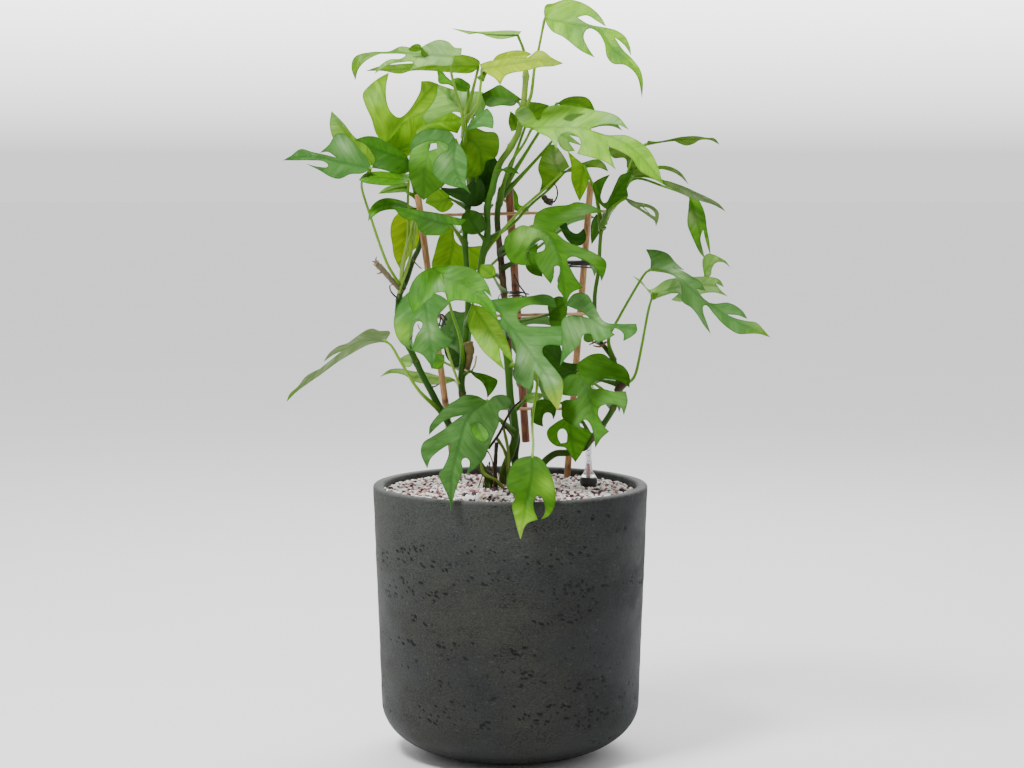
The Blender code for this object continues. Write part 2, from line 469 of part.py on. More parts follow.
              (56, 376), (57, 385), (73, 389), (73, 391), (64, 391), (55, 394), (56, 406),
              (64, 414))),
    "dark_lower_right": dict(
        vine="vine_right", root=335, via=((79, 352, -18),), lean=0.2,
        rib=((64, 369, -30), (66, 345, -38), (71, 319, -44)),
        edge=((64, 369), (50, 362), (40, 352), (42, 343), (50, 336), (60, 334), (66, 326),
              (71, 318), (78, 328), (84, 340), (90, 350), (78, 357), (68, 362)),
        holes=(((53, 353), (58, 355), (62, 350), (62, 341), (55, 339), (52, 345)),)),
    "dark_behind_centre": dict(
        vine="vine_right", root=404, via=((94, 410, 2),), lean=0.2,
        rib=((72, 418, 6), (56, 427, 0), (38, 444, -4)),
        edge=((72, 418), (74, 426), (57, 430), (56, 440), (52, 449), (40, 450), (35, 442),
              (38, 432), (46, 424), (52, 411), (56, 396), (66, 392), (73, 400))),
    "dark_by_node": dict(
        vine="vine_right", root=452, via=(), lean=0.3,
        rib=((95, 455, -26), (89, 458, -32), (83, 463, -38)),
        edge=((95, 455), (93, 463), (86, 467), (81, 460), (80, 452), (88, 450))),
    "small_dark_right": dict(
        vine="vine_right", root=344, via=((78, 364, 2), (60, 382, 2)), lean=0.2,
        rib=((47, 382, -4), (36, 376, -8), (35, 358, -12)),
        edge=((47, 382), (40, 387), (32, 387), (25, 381), (22, 370), (25, 362), (36, 357),
              (35, 364), (38, 372), (44, 372), (47, 365), (50, 375))),
    "small_dark_left": dict(
        vine="vine_inner_left", root=414, via=(), lean=0.3,
        rib=((-44, 418, -24), (-28, 410, -32), (-25, 389, -40)),
        edge=((-44, 418), (-38, 417), (-28, 415), (-18, 411), (-14, 408), (-17, 399),
              (-25, 389), (-27, 399), (-32, 407), (-39, 412))),
    "lower_left_large": dict(
        vine="vine_centre", root=352, via=((-19, 372, -36),), lean=0.3,
        rib=((-25, 386, -66), (-46, 368, -92), (-56, 338, -116), (-64, 304, -138),
             (-65, 265, -158)),
        edge=((-25, 386), (-36, 391), (-50, 392), (-60, 386), (-70, 380), (-80, 369),
              (-88, 358), (-89, 348), (-80, 357), (-70, 365), (-52, 370), (-62, 363),
              (-72, 355), (-86, 346), (-95, 340), (-98, 330), (-91, 311), (-87, 322),
              (-76, 332), (-66, 338), (-68, 325), (-73, 313), (-78, 305), (-73, 291),
              (-67, 277), (-65, 264), (-62, 280), (-56, 298), (-52, 309), (-53, 320),
              (-49, 323), (-45, 320), (-45, 313), (-49, 304), (-38, 312), (-28, 323),
              (-24, 334), (-17, 350), (-12, 363), (-12, 374), (-2, 378), (1, 386), (-6, 392),
              (-18, 391)),
        holes=(((-44, 360), (-36, 362), (-28, 356), (-24, 346), (-29, 340), (-38, 345)),)),
    "seen_through_hole": dict(
        vine="vine_inner_left", root=346, via=(), lean=0.2,
        rib=((-38, 366, -34), (-34, 352, -44), (-25, 336, -54)),
        edge=((-38, 366), (-44, 360), (-43, 348), (-34, 340), (-24, 334), (-20, 345),
              (-24, 357), (-31, 364))),
    "over_the_rim": dict(
        vine="vine_centre", root=424,
        via=((14, 424, -6), (29, 410, -14), (24, 366, -44), (25, 338, -86)), lean=0.15,
        rib=((24, 325, -112), (23, 302, -140), (17, 272, -166), (11, 234, -172)),
        edge=((24, 325), (15, 324), (7, 321), (1, 313), (-4, 298), (-2, 287), (5, 281), (2, 271),
              (5, 255), (11, 233), (18, 250), (30, 255), (26, 266), (26, 276), (31, 281),
              (37, 273), (38, 263), (34, 255), (42, 259), (49, 272), (49, 287), (45, 303),
              (37, 318), (30, 324))),
    "left_arching": dict(
        vine="vine_left", root=374, via=((-99, 396, -12), (-118, 426, -16), (-129, 445, -18)),
        lean=-2.6,
        rib=((-136, 451, -20), (-165, 450, -36), (-200, 428, -56), (-244, 386, -74)),
        edge=((-136, 451), (-131, 461), (-142, 462), (-154, 464), (-166, 457), (-177, 449),
              (-188, 445), (-197, 438), (-203, 429), (-193, 436), (-181, 441), (-170, 442),
              (-185, 433), (-205, 422), (-222, 413), (-232, 401), (-240, 394), (-244, 385),
              (-234, 395), (-222, 404), (-206, 415), (-190, 427), (-172, 438), (-155, 447))),
    "pale_behind_left": dict(
        vine="vine_inner_left", root=394, via=((-57, 404, 50),), lean=0.9,
        rib=((-60, 408, 108), (-96, 412, 100), (-142, 412, 80)),
        edge=((-60, 408), (-64, 411), (-78, 413), (-92, 417), (-106, 418), (-120, 421),
              (-131, 420), (-142, 412), (-130, 416), (-116, 414), (-105, 407), (-90, 404),
              (-72, 404))),
    "pale_beside_stem": dict(
        vine="vine_left", root=428, via=(), lean=0.5,
        rib=((-106, 428, 20), (-113, 430, 24), (-122, 430, 28)),
        edge=((-106, 428), (-103, 434), (-110, 437), (-122, 431), (-118, 425), (-109, 423))),
    "olive_behind_left": dict(
        vine="vine_inner_left", root=428, via=(), lean=0.3,
        rib=((-55, 434, 10), (-62, 458, 26), (-58, 484, 38)),
        edge=((-55, 434), (-66, 441), (-76, 452), (-75, 470), (-66, 484), (-50, 483), (-45, 492),
              (-39, 490), (-38, 478), (-42, 462), (-46, 440))),
    "dark_by_cane": dict(
        vine="vine_inner_left", root=436, via=(), lean=0.3,
        rib=((-55, 436, -2), (-62, 434, 0), (-70, 437, 2)),
        edge=((-55, 436), (-62, 442), (-73, 447), (-70, 434), (-62, 424), (-55, 417), (-51, 428))),
    "bright_by_cane": dict(
        vine="vine_inner_left", root=420, via=((-64, 424, 20),), lean=0.3,
        rib=((-72, 428, 34), (-80, 430, 38), (-88, 428, 42)),
        edge=((-72, 428), (-72, 436), (-80, 437), (-88, 430), (-86, 421), (-76, 421))),
    "small_pale": dict(
        vine="vine_middle", root=372, via=(), lean=0.3,
        rib=((16, 386, 18), (26, 389, 12), (38, 393, 6)),
        edge=((16, 386), (15, 391), (24, 395), (38, 393), (30, 386), (22, 383))),
    "beside_cane": dict(
        vine="vine_middle", root=600, via=((-10, 606, 88),), lean=0.3,
        rib=((6, 594, 104), (7, 606, 106), (2, 619, 104)),
        edge=((6, 594), (-1, 604), (2, 619), (8, 609), (10, 599), (19, 597), (20, 590),
              (10, 589))),
}

# Leaves on the far side, each cut like a smaller copy of a front leaf and hidden behind it
BACK_LEAVES = {
    "back_centre": dict(like="centre_vivid", vine="vine_middle", root=520,
                        via=((-22, 532, 82),), depth=128),
    "back_low_centre": dict(like="centre_bluish", vine="vine_middle", root=420, via=(), depth=124,
                            drop=14),
    "back_top_right": dict(like="right_light", vine="vine_middle", root=614, via=(), depth=96),
    "back_low_right": dict(like="lower_right_large", vine="vine_right", root=378, via=(),
                           depth=112),
    "back_upper_left": dict(like="ovate_front", vine="vine_inner_left", root=600, via=(), depth=92),
    "back_left": dict(like="bluish_lower_left", vine="vine_left", root=496, via=(), depth=112),
}
BACK_SCALE = 0.84


def mm(x, y, z):
    return Vector((x, y, z)) / 1000


def seen(x, z, y):
    """Point (x, z) of the front drawing, moved along its line of sight to depth y."""
    reach = (y - EYE[1]) / -EYE[1]
    return mm(EYE[0] + (x - EYE[0]) * reach, y, EYE[2] + (z - EYE[2]) * reach)


def clear_scene():
    for found in list(bpy.data.objects):
        bpy.data.objects.remove(found)


def collection(name):
    made = bpy.data.collections.new(name)
    bpy.context.scene.collection.children.link(made)
    return made


def material(name, color, roughness, alpha=1.0):
    made = bpy.data.materials.new(name)
    made.use_nodes = True
    shader = made.node_tree.nodes["Principled BSDF"]
    shader.inputs["Base Color"].default_value = (*color, 1.0)
    shader.inputs["Roughness"].default_value = roughness
    shader.inputs["Alpha"].default_value = alpha
    return made


def add_object(name, mesh, group, look=None):
    made = bpy.data.objects.new(name, mesh)
    group.objects.link(made)
    if look:
        mesh.materials.append(look)
    return made


def mesh_from(name, points, faces):
    mesh = bpy.data.meshes.new(name)
    mesh.from_pydata(points, [], faces)
    mesh.update()
    return mesh


def baked(source, name):
    """Mesh of an object as its modifiers or its curve leave it, with doubled points joined."""
    bpy.context.view_layer.update()
    graph = bpy.context.evaluated_depsgraph_get()
    mesh = bpy.data.meshes.new_from_object(source.evaluated_get(graph))
    mesh.name = name
    shape = bmesh.new()
    shape.from_mesh(mesh)
    bmesh.ops.remove_doubles(shape, verts=shape.verts, dist=1e-6)
    bmesh.ops.dissolve_limit(shape, angle_limit=radians(0.5), verts=shape.verts, edges=shape.edges)
    bmesh.ops.triangulate(shape, faces=shape.faces)
    shape.to_mesh(mesh)
    shape.free()
    return mesh


def turned(name, profile, centre, steps, group, look=None):
    """Solid of revolution: the profile runs from the inside or the top to the underside."""
    points = [mm(radius, 0, height) for radius, height in profile]
    mesh = bpy.data.meshes.new(name)
    mesh.from_pydata(points, [(i, i + 1) for i in range(len(points) - 1)], [])
    made = add_object(name, mesh, group, look)
    made.location = mm(centre[0], centre[1], 0)
    screw = made.modifiers.new("turn", "SCREW")
    screw.steps = steps
    screw.render_steps = steps
    screw.use_merge_vertices = True
    screw.merge_threshold = 1e-6
    return made


def tube(name, points, radii, sides, group, look=None):
    """Round tube along a line of points, with a radius at each point."""
    curve = bpy.data.curves.new(name, "CURVE")
    curve.dimensions = "3D"
    curve.bevel_depth = 0.001
    curve.bevel_resolution = sides
    curve.use_fill_caps = True
    line = curve.splines.new("POLY")
    line.points.add(len(points) - 1)
    for spot, point, radius in zip(line.points, points, radii):
        spot.co = (*point, 1)
        spot.radius = radius
    guide = add_object(name, curve, group)
    mesh = baked(guide, name)
    bpy.data.objects.remove(guide)
    return add_object(name, mesh, group, look)


def smooth_line(points, parts):
    """Rounded line through 3D points, with each stretch cut into parts."""
    ends = [2 * points[0] - points[1]] + points + [2 * points[-1] - points[-2]]
    line = []
    for before, start, stop, after in zip(ends, ends[1:], ends[2:], ends[3:]):
        for i in range(parts):
            t = i / parts
            line.append(0.5 * (2 * start + (stop - before) * t
                               + (2 * before - 5 * start + 4 * stop - after) * t ** 2
                               + (3 * start - before - 3 * stop + after) * t ** 3))
    return line + [points[-1]]


def subtract(target, cutter):
    cut = target.modifiers.new("cut " + cutter.name, "BOOLEAN")
    cut.operation = "DIFFERENCE"
    cut.solver = "EXACT"
    cut.object = cutter
    cutter.hide_render = True
    cutter.display_type = "WIRE"


def corner(radius, height, width, rise, count):
    """Rounded lower corner of a profile, from the wall down to the foot."""
    foot = radius - width
    angles = [pi / 2 * (1 - i / count) for i in range(count + 1)]
    return [(foot + width * sin(a), height + rise - rise * cos(a)) for a in angles]


def pot_profile():
    inner_rim = RIM_RADIUS - POT_WALL
    inner_waist = WAIST_RADIUS - POT_WALL
    outside = [(RIM_RADIUS, POT_HEIGHT - RIM_ROUND)]
    outside += corner(WAIST_RADIUS, 0, CORNER_WIDTH, CORNER_HEIGHT, 6) + [(0, 0)]
    inside = [(0, POT_FLOOR)]
    inside += reversed(corner(inner_waist, POT_FLOOR, CORNER_WIDTH - 12, CORNER_HEIGHT - 12, 3))
    rim = [(inner_rim, POT_HEIGHT - RIM_ROUND), (inner_rim + 1.2, POT_HEIGHT - 1.2),
           (inner_rim + RIM_ROUND, POT_HEIGHT), (RIM_RADIUS - RIM_ROUND, POT_HEIGHT),
           (RIM_RADIUS - 1.2, POT_HEIGHT - 1.2)]
    return inside + rim + outside


def fill_rings():
    """Outside of the granulate under its surface, the seat's gap clear of the pot."""
    inner_rim = RIM_RADIUS - POT_WALL - SEAT
    inner_waist = WAIST_RADIUS - POT_WALL - SEAT
    side = corner(inner_waist, POT_FLOOR + SEAT, CORNER_WIDTH - 12, CORNER_HEIGHT - 12, 3)
    taper = (FILL_HEIGHT - side[0][1]) / (POT_HEIGHT - RIM_ROUND - side[0][1])
    return [(inner_waist + (inner_rim - inner_waist) * taper, FILL_HEIGHT)] + side


def granulate_mesh():
    """Filled body with a surface of low grains, one for each point of its rings."""
    rng = Random(7)
    rim = fill_rings()[0][0]
    points = [mm(0, 0, FILL_HEIGHT + MOUND)]
    rings = [[0]]
    for ring in range(1, FILL_RINGS + 1):
        radius = rim * ring / FILL_RINGS
        rings.append(range(len(points), len(points) + 6 * ring))
        for i in range(6 * ring):
            angle = pi / 3 * i / ring
            swell = MOUND * max(0, 1 - (radius / 90) ** 2)
            grain = rng.uniform(-GRAIN_RELIEF, GRAIN_RELIEF) if ring < FILL_RINGS else 0
            points.append(mm(radius * cos(angle), radius * sin(angle), FILL_HEIGHT + swell + grain))
    faces = []
    for ring in range(1, FILL_RINGS + 1):
        inner, outer = rings[ring - 1], rings[ring]
        for sector in range(6):
            for i in range(ring):
                a = outer[sector * ring + i]
                b = outer[(sector * ring + i + 1) % (6 * ring)]
                c = inner[(sector * (ring - 1) + i) % len(inner)]
                faces.append((a, b, c))
                if i < ring - 1:
                    d = inner[(sector * (ring - 1) + i + 1) % len(inner)]
                    faces.append((c, b, d))
    above = rings[-1]
    for radius, height in fill_rings()[1:]:
        below = range(len(points), len(points) + TURN_STEPS)
        for i in range(TURN_STEPS):
            angle = 2 * pi * i / TURN_STEPS
            points.append(mm(radius * cos(angle), radius * sin(angle), height))
            after = (i + 1) % TURN_STEPS
            faces.append((above[i], below[i], below[after], above[after]))
        above = below
    faces.append(list(reversed(above)))
    return mesh_from("granulate", points, faces)


def cane_point(cane, z):
    """Drawing point of a cane at a height, with its depth: the fronts of all canes line up."""
    (top_x, top_z), (foot_x, foot_z) = cane["top"], cane["foot"]
    along = (z - foot_z) / (top_z - foot_z)
    depth = CANE_DEPTH_FOOT + (CANE_DEPTH_TOP - CANE_DEPTH_FOOT) * (z - 300) / (620 - 300)
    return foot_x + (top_x - foot_x) * along, z, depth + cane["radius"]


def cane_ends(name):
    cane = CANES[name]
    top = seen(*cane_point(cane, cane["top"][1]))
    foot = seen(*cane_point(cane, cane["foot"][1]))
    if cane["foot"][1] < 320:
        foot = top + (foot - top) * ((top.z - CANE_BURY / 1000) / (top.z - foot.z))
    return top, foot


def add_trellis(group, look):
    for name, cane in CANES.items():
        top, foot = cane_ends(name)
        tube(name, [foot, top], [cane["radius"]] * 2, 3, group, look)
    for name, (left, right) in CROSSBARS.items():
        ends = []
        for x, z in (left, right):
            middle_cane = CANES["trellis_cane_middle"]
            front = cane_point(middle_cane, z)[2] - middle_cane["radius"]
            ends.append(seen(x, z, front - CROSSBAR_GAP - CROSSBAR_RADIUS))
        tube(name, ends, [CROSSBAR_RADIUS] * 2, 2, group, look)


def add_ties(group, look):
    """Loops of wire, each round a cane and open towards the stem on its left."""
    for name, (cane_name, z, reach) in TIES.items():
        cane = CANES[cane_name]
        centre = seen(*cane_point(cane, z))
        round_it = cane["radius"] + SEAT + 2 * WIRE_RADIUS
        loop = []
        for i in range(12):
            angle = 2 * pi * i / 12
            stretch = reach if cos(angle) < -0.01 else 0
            loop.append(centre + mm(cos(angle) * round_it - stretch, sin(angle) * round_it, 0))
        ring(name, loop, WIRE_RADIUS, group, look)


def ring(name, loop, radius, group, look):
    """Closed wire of square section along a level loop."""
    points = []
    count = len(loop)
    middle = sum(loop, Vector()) / count
    for point in loop:
        out = (point - middle).normalized() * radius / 1000
        up = mm(0, 0, radius)
        points += [point + out, point + up, point - out, point - up]
    faces = []
    for i in range(count):
        after = (i + 1) % count
        for side in range(4):
            beside = (side + 1) % 4
            faces.append((4 * i + side, 4 * after + side, 4 * after + beside, 4 * i + beside))
    add_object(name, mesh_from(name, points, faces), group, look)


def add_gauge(group, looks):
    """Black sleeve in the granulate, clear tube with a flared foot, and the red float."""
    low = GAUGE_DEPTH
    sleeve = [(0, low + 3), (4.6, low + 3), (4.6, 298), (COLLAR_RADIUS - 1, 298),
              (COLLAR_RADIUS, 297), (COLLAR_RADIUS, 282), (7, 282), (7, low), (0, low)]
    turned("gauge_sleeve", sleeve, GAUGE_AT, FINE_TURN_STEPS, group, looks["gauge_black"])
    clear = [(0, 338), (2.4, 337.4), (3.6, 335), (3.8, 306), (7.6, 298.3), (4.2, 298.3),
             (4.2, 286), (2.7, 286), (2.7, 334), (0, 335.5)]
    turned("gauge_tube", clear, GAUGE_AT, FINE_TURN_STEPS, group, looks["gauge_clear"])
    rod = [(0, 313), (2, 312), (2, low + 3.3), (0, low + 3.3)]
    turned("gauge_float", rod, GAUGE_AT, FINE_TURN_STEPS, group, looks["gauge_red"])


def stem_line(name):
    """Points of a stem, from its foot in the granulate upwards."""
    stem = STEMS[name]
    x, y = stem["foot"]
    points = [mm(x, y, STEM_BURY), mm(x, y, FILL_HEIGHT + 8)]
    return points + [seen(*spot) for spot in stem["path"]]


def stem_at(name, z):
    """First point of a stem's axis whose front drawing stands at height z."""
    path = STEMS[name]["path"]
    for low, high in zip(path, path[1:]):
        if low[1] <= z <= high[1]:
            t = (z - low[1]) / (high[1] - low[1])
            return tuple(a + (b - a) * t for a, b in zip(low, high))
    return path[-1] if z > path[-1][1] else path[0]


def back_leaf(leaf):
    """Front leaf's outline drawn smaller about its middle and set at the back, bowed the other way."""
    front = LEAVES[leaf["like"]]
    middle_x = sum(x for x, z in front["edge"]) / len(front["edge"])
    middle_z = sum(z for x, z in front["edge"]) / len(front["edge"])

    def smaller(x, z):
        low = middle_z - leaf.get("drop", 0)
        return middle_x + (x - middle_x) * BACK_SCALE, low + (z - middle_z) * BACK_SCALE

    start = front["rib"][0][2]
    rib = [(*smaller(x, z), leaf["depth"] - 0.6 * (y - start)) for x, z, y in front["rib"]]
    return dict(vine=leaf["vine"], root=leaf["root"], via=leaf["via"], lean=-front["lean"], rib=rib,
                edge=[smaller(x, z) for x, z in front["edge"]])


def all_leaves():
    leaves = dict(LEAVES)
    for name, leaf in BACK_LEAVES.items():
        leaves[name] = back_leaf(leaf)
    return leaves


class Surface:
    """Curved sheet of one leaf: gives the depth of any point of its front drawing."""

    def __init__(self, leaf):
        self.rib = leaf["rib"]
        self.lean = leaf["lean"]
        (x0, z0, y0), (x1, z1, y1) = self.rib[0], self.rib[-1]
        self.length = hypot(x1 - x0, z1 - z0)
        self.way = ((x1 - x0) / self.length, (z1 - z0) / self.length)
        self.stretch = (sqrt(1 + ((y1 - y0) / self.length) ** 2), sqrt(1 + self.lean ** 2))
        self.bends = [(*self.spot(x, z), y) for x, z, y in self.rib]

    def spot(self, x, z):
        """Place of a drawing point along and across the line from base to tip."""
        x0, z0 = self.rib[0][:2]
        along = (x - x0) * self.way[0] + (z - z0) * self.way[1]
        across = (x - x0) * -self.way[1] + (z - z0) * self.way[0]
        return along, across

    def rib_at(self, along):
        """Sideways place and depth of the midrib at a distance from the base."""
        along = min(max(along, self.bends[0][0]), self.bends[-1][0])
        for start, stop in zip(self.bends, self.bends[1:]):
            if along <= stop[0]:
                t = (along - start[0]) / max(stop[0] - start[0], 1e-6)
                return start[1] + (stop[1] - start[1]) * t, start[2] + (stop[2] - start[2]) * t
        return self.bends[-1][1:]

    def depth(self, x, z):
        along, across = self.spot(x, z)
        rib_across, rib_depth = self.rib_at(along)
        off = across - rib_across
        true_off = off * self.stretch[1]
        fold = -0.16 * abs(true_off) + 0.0042 * true_off ** 2
        wave = 1.6 * sin(along / 9 + self.rib[0][0]) * min(1, abs(true_off) / 30)
        return rib_depth + self.lean * off + fold + wave

    def place(self, x, z):
        return seen(x, z, self.depth(x, z))

    def flat(self, x, z):
        """Drawing point laid out at its true spacing, for even triangles."""
        along, across = self.spot(x, z)
        return Vector((along * self.stretch[0], across * self.stretch[1]))

    def drawn(self, flat):
        """Drawing point of a point that flat() laid out."""
        along, across = flat.x / self.stretch[0], flat.y / self.stretch[1]
        x0, z0 = self.rib[0][:2]
        return x0 + along * self.way[0] - across * self.way[1], \
            z0 + along * self.way[1] + across * self.way[0]


def inside(point, outline):
    """Whether a flat point lies within a closed outline."""
    hit = False
    for a, b in zip(outline, outline[1:] + outline[:1]):
        if (a.y > point.y) != (b.y > point.y):
            if point.x < (b.x - a.x) * (point.y - a.y) / (b.y - a.y) + a.x:
                hit = not hit
    return hit


def blade_sheet(leaf, surface):
    """Triangles of a blade's middle sheet, as drawing points and corners."""
    outline = list(leaf["edge"])
    loops = [outline] + [list(hole) for hole in leaf.get("holes", ())]
    spots = []
    edges = []
    for loop in loops:
        start = len(spots)
        spots += loop
        edges += [(start + i, start + (i + 1) % len(loop)) for i in range(len(loop))]
    spots += [(x, z) for x, z, y in leaf["rib"][1:-1]]
    flat = [surface.flat(x, z) for x, z in spots]
    found = delaunay_2d_cdt(flat, edges, [range(len(outline))], 1, 1e-5)
    corners, triangles = found[0], found[2]
    holes = [[surface.flat(x, z) for x, z in loop] for loop in loops[1:]]
    kept = []
    for triangle in triangles:
        middle = sum((corners[i] for i in triangle), Vector((0, 0))) / 3
        if not any(inside(middle, hole) for hole in holes):
            kept.append(tuple(triangle))
    return [surface.drawn(spot) for spot in corners], kept


def blade_mesh(name, leaf):
    """Blade of even thickness, split into triangles alike on both faces."""
    surface = Surface(leaf)
    spots, triangles = blade_sheet(leaf, surface)
    middle = [surface.place(x, z) for x, z in spots]
    normals = [Vector() for spot in spots]
    sides = {}
    for a, b, c in triangles:
        normal = (middle[b] - middle[a]).cross(middle[c] - middle[a])
        for i in (a, b, c):
            normals[i] += normal
        for edge in ((a, b), (b, c), (c, a)):
            sides[edge] = True
    offsets = [normal.normalized() * BLADE / 2000 for normal in normals]
    count = len(middle)
    points = [m + o for m, o in zip(middle, offsets)] + [m - o for m, o in zip(middle, offsets)]
    faces = list(triangles) + [(c + count, b + count, a + count) for a, b, c in triangles]
    for a, b in sides:
        if (b, a) not in sides:
            faces.append((b, a, a + count))
            faces.append((b, a + count, b + count))
    return mesh_from(name, points, faces)


def petiole_points(leaf):
    """Leaf stalk from the stem's axis to a short hold inside the blade."""
    root = leaf["root"]
    start = root if isinstance(root, tuple) else stem_at(leaf["vine"], root)
    (x0, z0, y0), (x1, z1, y1) = leaf["rib"][:2]
    hold = RIB_HOLD / sqrt((x1 - x0) ** 2 + (z1 - z0) ** 2 + (y1 - y0) ** 2)
    end = (x0 + (x1 - x0) * hold, z0 + (z1 - z0) * hold, y0 + (y1 - y0) * hold)
    bends = [start, *leaf["via"], (x0, z0, y0)]
    parts = 2 if len(leaf["via"]) == 1 else 1
    return smooth_line([seen(*bend) for bend in bends], parts) + [seen(*end)]


def add_vine(name, leaves, group, look):
    """Stem with its leaf stalks and blades, joined as the one piece that they grew as."""
    shoots = collection(name + " shoots")
    for leaf_name, leaf in leaves.items():
        add_object(leaf_name, blade_mesh(leaf_name, leaf), shoots)
        stalk = petiole_points(leaf)
        thin = [PETIOLE_RADIUS * (1.15 - 0.35 * i / (len(stalk) - 1)) for i in range(len(stalk))]
        tube(leaf_name + " stalk", stalk, thin, PETIOLE_SIDES, shoots)
    line = stem_line(name)
    foot, top = STEMS[name]["radius"], STEMS[name]["top_radius"]
    radii = [foot + (top - foot) * i / (len(line) - 1) for i in range(len(line))]
    stem = tube(name, line, radii, STEM_SIDES, group)
    join = stem.modifiers.new("join", "BOOLEAN")
    join.operand_type = "COLLECTION"
    join.collection = shoots
    join.operation = "UNION"
    join.solver = "EXACT"
    mesh = baked(stem, name)
    bpy.data.objects.remove(stem)
    for shoot in list(shoots.objects):
        bpy.data.objects.remove(shoot)
    bpy.data.collections.remove(shoots)
    add_object(name, mesh, group, look)


def add_granulate(group, cutters, look):
    """Granulate with plain holes for the stems, the canes and the gauge."""
    fill = add_object("granulate", granulate_mesh(), group, look)
    for name, stem in STEMS.items():
        x, y = stem["foot"]
        line = [mm(x, y, STEM_BURY - SEAT), mm(x, y, FILL_HEIGHT + 8)]
        above = seen(*stem["path"][0])
        line.append(line[-1] + (above - line[-1]) * 0.9)
        subtract(fill, tube("hole for " + name, line, [stem["radius"] + SEAT + 0.4] * 3, 3, cutters))
    for name, cane in CANES.items():
        top, foot = cane_ends(name)
        if foot.z < FILL_HEIGHT / 1000:
            way = (foot - top).normalized()
            line = [foot + way * SEAT / 1000, foot - way * 0.1]
            wide = cane["radius"] + SEAT
            subtract(fill, tube("hole for " + name, line, [wide] * 2, 3, cutters))
    wide, narrow = COLLAR_RADIUS + SEAT, 7 + SEAT
    hole = [(0, 310), (wide, 310), (wide, 282 - SEAT), (narrow, 282 - SEAT),
            (narrow, GAUGE_DEPTH - SEAT), (0, GAUGE_DEPTH - SEAT)]
    subtract(fill, turned("hole for gauge", hole, GAUGE_AT, FINE_TURN_STEPS, cutters))


def main():
    clear_scene()
    plant = collection("potted mini monstera")
    cutters = collection("cutters")
    looks = {
        "pot": material("pot", (0.05, 0.054, 0.053), 0.85),
        "granulate": material("granulate", (0.62, 0.52, 0.47), 0.9),
        "bamboo": material("bamboo", (0.26, 0.11, 0.05), 0.65),
        "wire": material("wire", (0.02, 0.02, 0.02), 0.5),
        "foliage": material("foliage", (0.10, 0.30, 0.04), 0.42),
        "gauge_black": material("gauge_black", (0.015, 0.015, 0.015), 0.4),
        "gauge_clear": material("gauge_clear", (0.9, 0.93, 0.93), 0.08, 0.3),
        "gauge_red": material("gauge_red", (0.6, 0.03, 0.02), 0.4),
    }
    turned("pot", pot_profile(), (0, 0), TURN_STEPS, plant, looks["pot"])
    add_granulate(plant, cutters, looks["granulate"])
    add_gauge(plant, looks)
    add_trellis(plant, looks["bamboo"])
    add_ties(plant, looks["wire"])
    leaves = all_leaves()
    for name in STEMS:
        own = {key: leaf for key, leaf in leaves.items() if leaf["vine"] == name}
        add_vine(name, own, plant, looks["foliage"])


main()
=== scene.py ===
"""Looks of the potted mini monstera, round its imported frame.

Lengths are millimetres until mm() and seen() turn them into metres. Leaves and stems are
drawn on the same upright front drawing as the frame's, as (x, z) or (x, z, y): a point
slides along its line of sight to its own depth y, so the front view stays as drawn.
"""

from math import ceil, cos, exp, floor, hypot, pi, radians, sin, sqrt
from random import Random

import bpy
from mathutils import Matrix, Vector, noise
from mathutils.geometry import delaunay_2d_cdt


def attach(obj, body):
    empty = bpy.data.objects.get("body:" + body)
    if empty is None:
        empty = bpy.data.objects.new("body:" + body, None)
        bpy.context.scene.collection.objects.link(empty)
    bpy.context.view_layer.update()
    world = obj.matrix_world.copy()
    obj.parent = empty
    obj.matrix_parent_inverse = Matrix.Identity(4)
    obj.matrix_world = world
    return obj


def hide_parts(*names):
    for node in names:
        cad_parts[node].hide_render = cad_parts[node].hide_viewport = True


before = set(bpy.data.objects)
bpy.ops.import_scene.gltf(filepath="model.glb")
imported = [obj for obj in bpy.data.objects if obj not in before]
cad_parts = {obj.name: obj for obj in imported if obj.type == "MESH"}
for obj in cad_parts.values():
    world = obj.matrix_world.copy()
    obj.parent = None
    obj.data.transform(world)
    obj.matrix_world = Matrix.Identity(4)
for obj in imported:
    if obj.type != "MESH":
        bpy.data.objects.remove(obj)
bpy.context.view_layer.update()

# Camera, and the eye point that the front drawing is seen from
EYE = (2, -2600, 654)
CAMERA_AT = (1.8, -2600, 654)
CAMERA_PITCH = 5.49
LENS = 84.2

# Pot
RIM_RADIUS = 150
POT_HEIGHT = 295
WAIST_RADIUS = 141.5
CORNER_WIDTH = 82
CORNER_HEIGHT = 55
POT_WALL = 12
POT_FLOOR = 18
RIM_ROUND = 3
POT_STEPS = 456
POT_STEP_HEIGHT = 1.75
PIT_DEPTH = 1.5
PIT_WIDTHS = (0.9, 1.1, 1.4, 1.9, 3.0)

# Bands of pits on the pot: height, spread about it and number of clusters
PIT_BANDS = ((228, 20, 38), (196, 14, 30), (64, 12, 26), (150, 60, 50), (100, 50, 34))

# Granulate
FILL_HEIGHT = 286
MOUND = 3
MOUND_RADIUS = 90
GRAIN_SPACING = 4.9
GRAIN_SIZES = (1.8, 2.9)
STRAY_GRAIN_TURNS = (200, 207, 214, 223, 232, 247, 262)

# Water gauge
GAUGE_AT = (86.6, 31)
COLLAR_RADIUS = 9.8
GAUGE_FOOT = 200
MARK_HEIGHTS = (328, 322, 316)

# Trellis
CANE_DEPTH_TOP = 50
CANE_DEPTH_FOOT = 98
CANE_BURY = 215
CROSSBAR_RADIUS = 1.9
CROSSBAR_GAP = 0.4
TIE_WIRE_RADIUS = 0.5
TIE_TWIST = 0.45
TIE_TURNS = 1.06
LOOSE_WIRE_RADIUS = 0.9

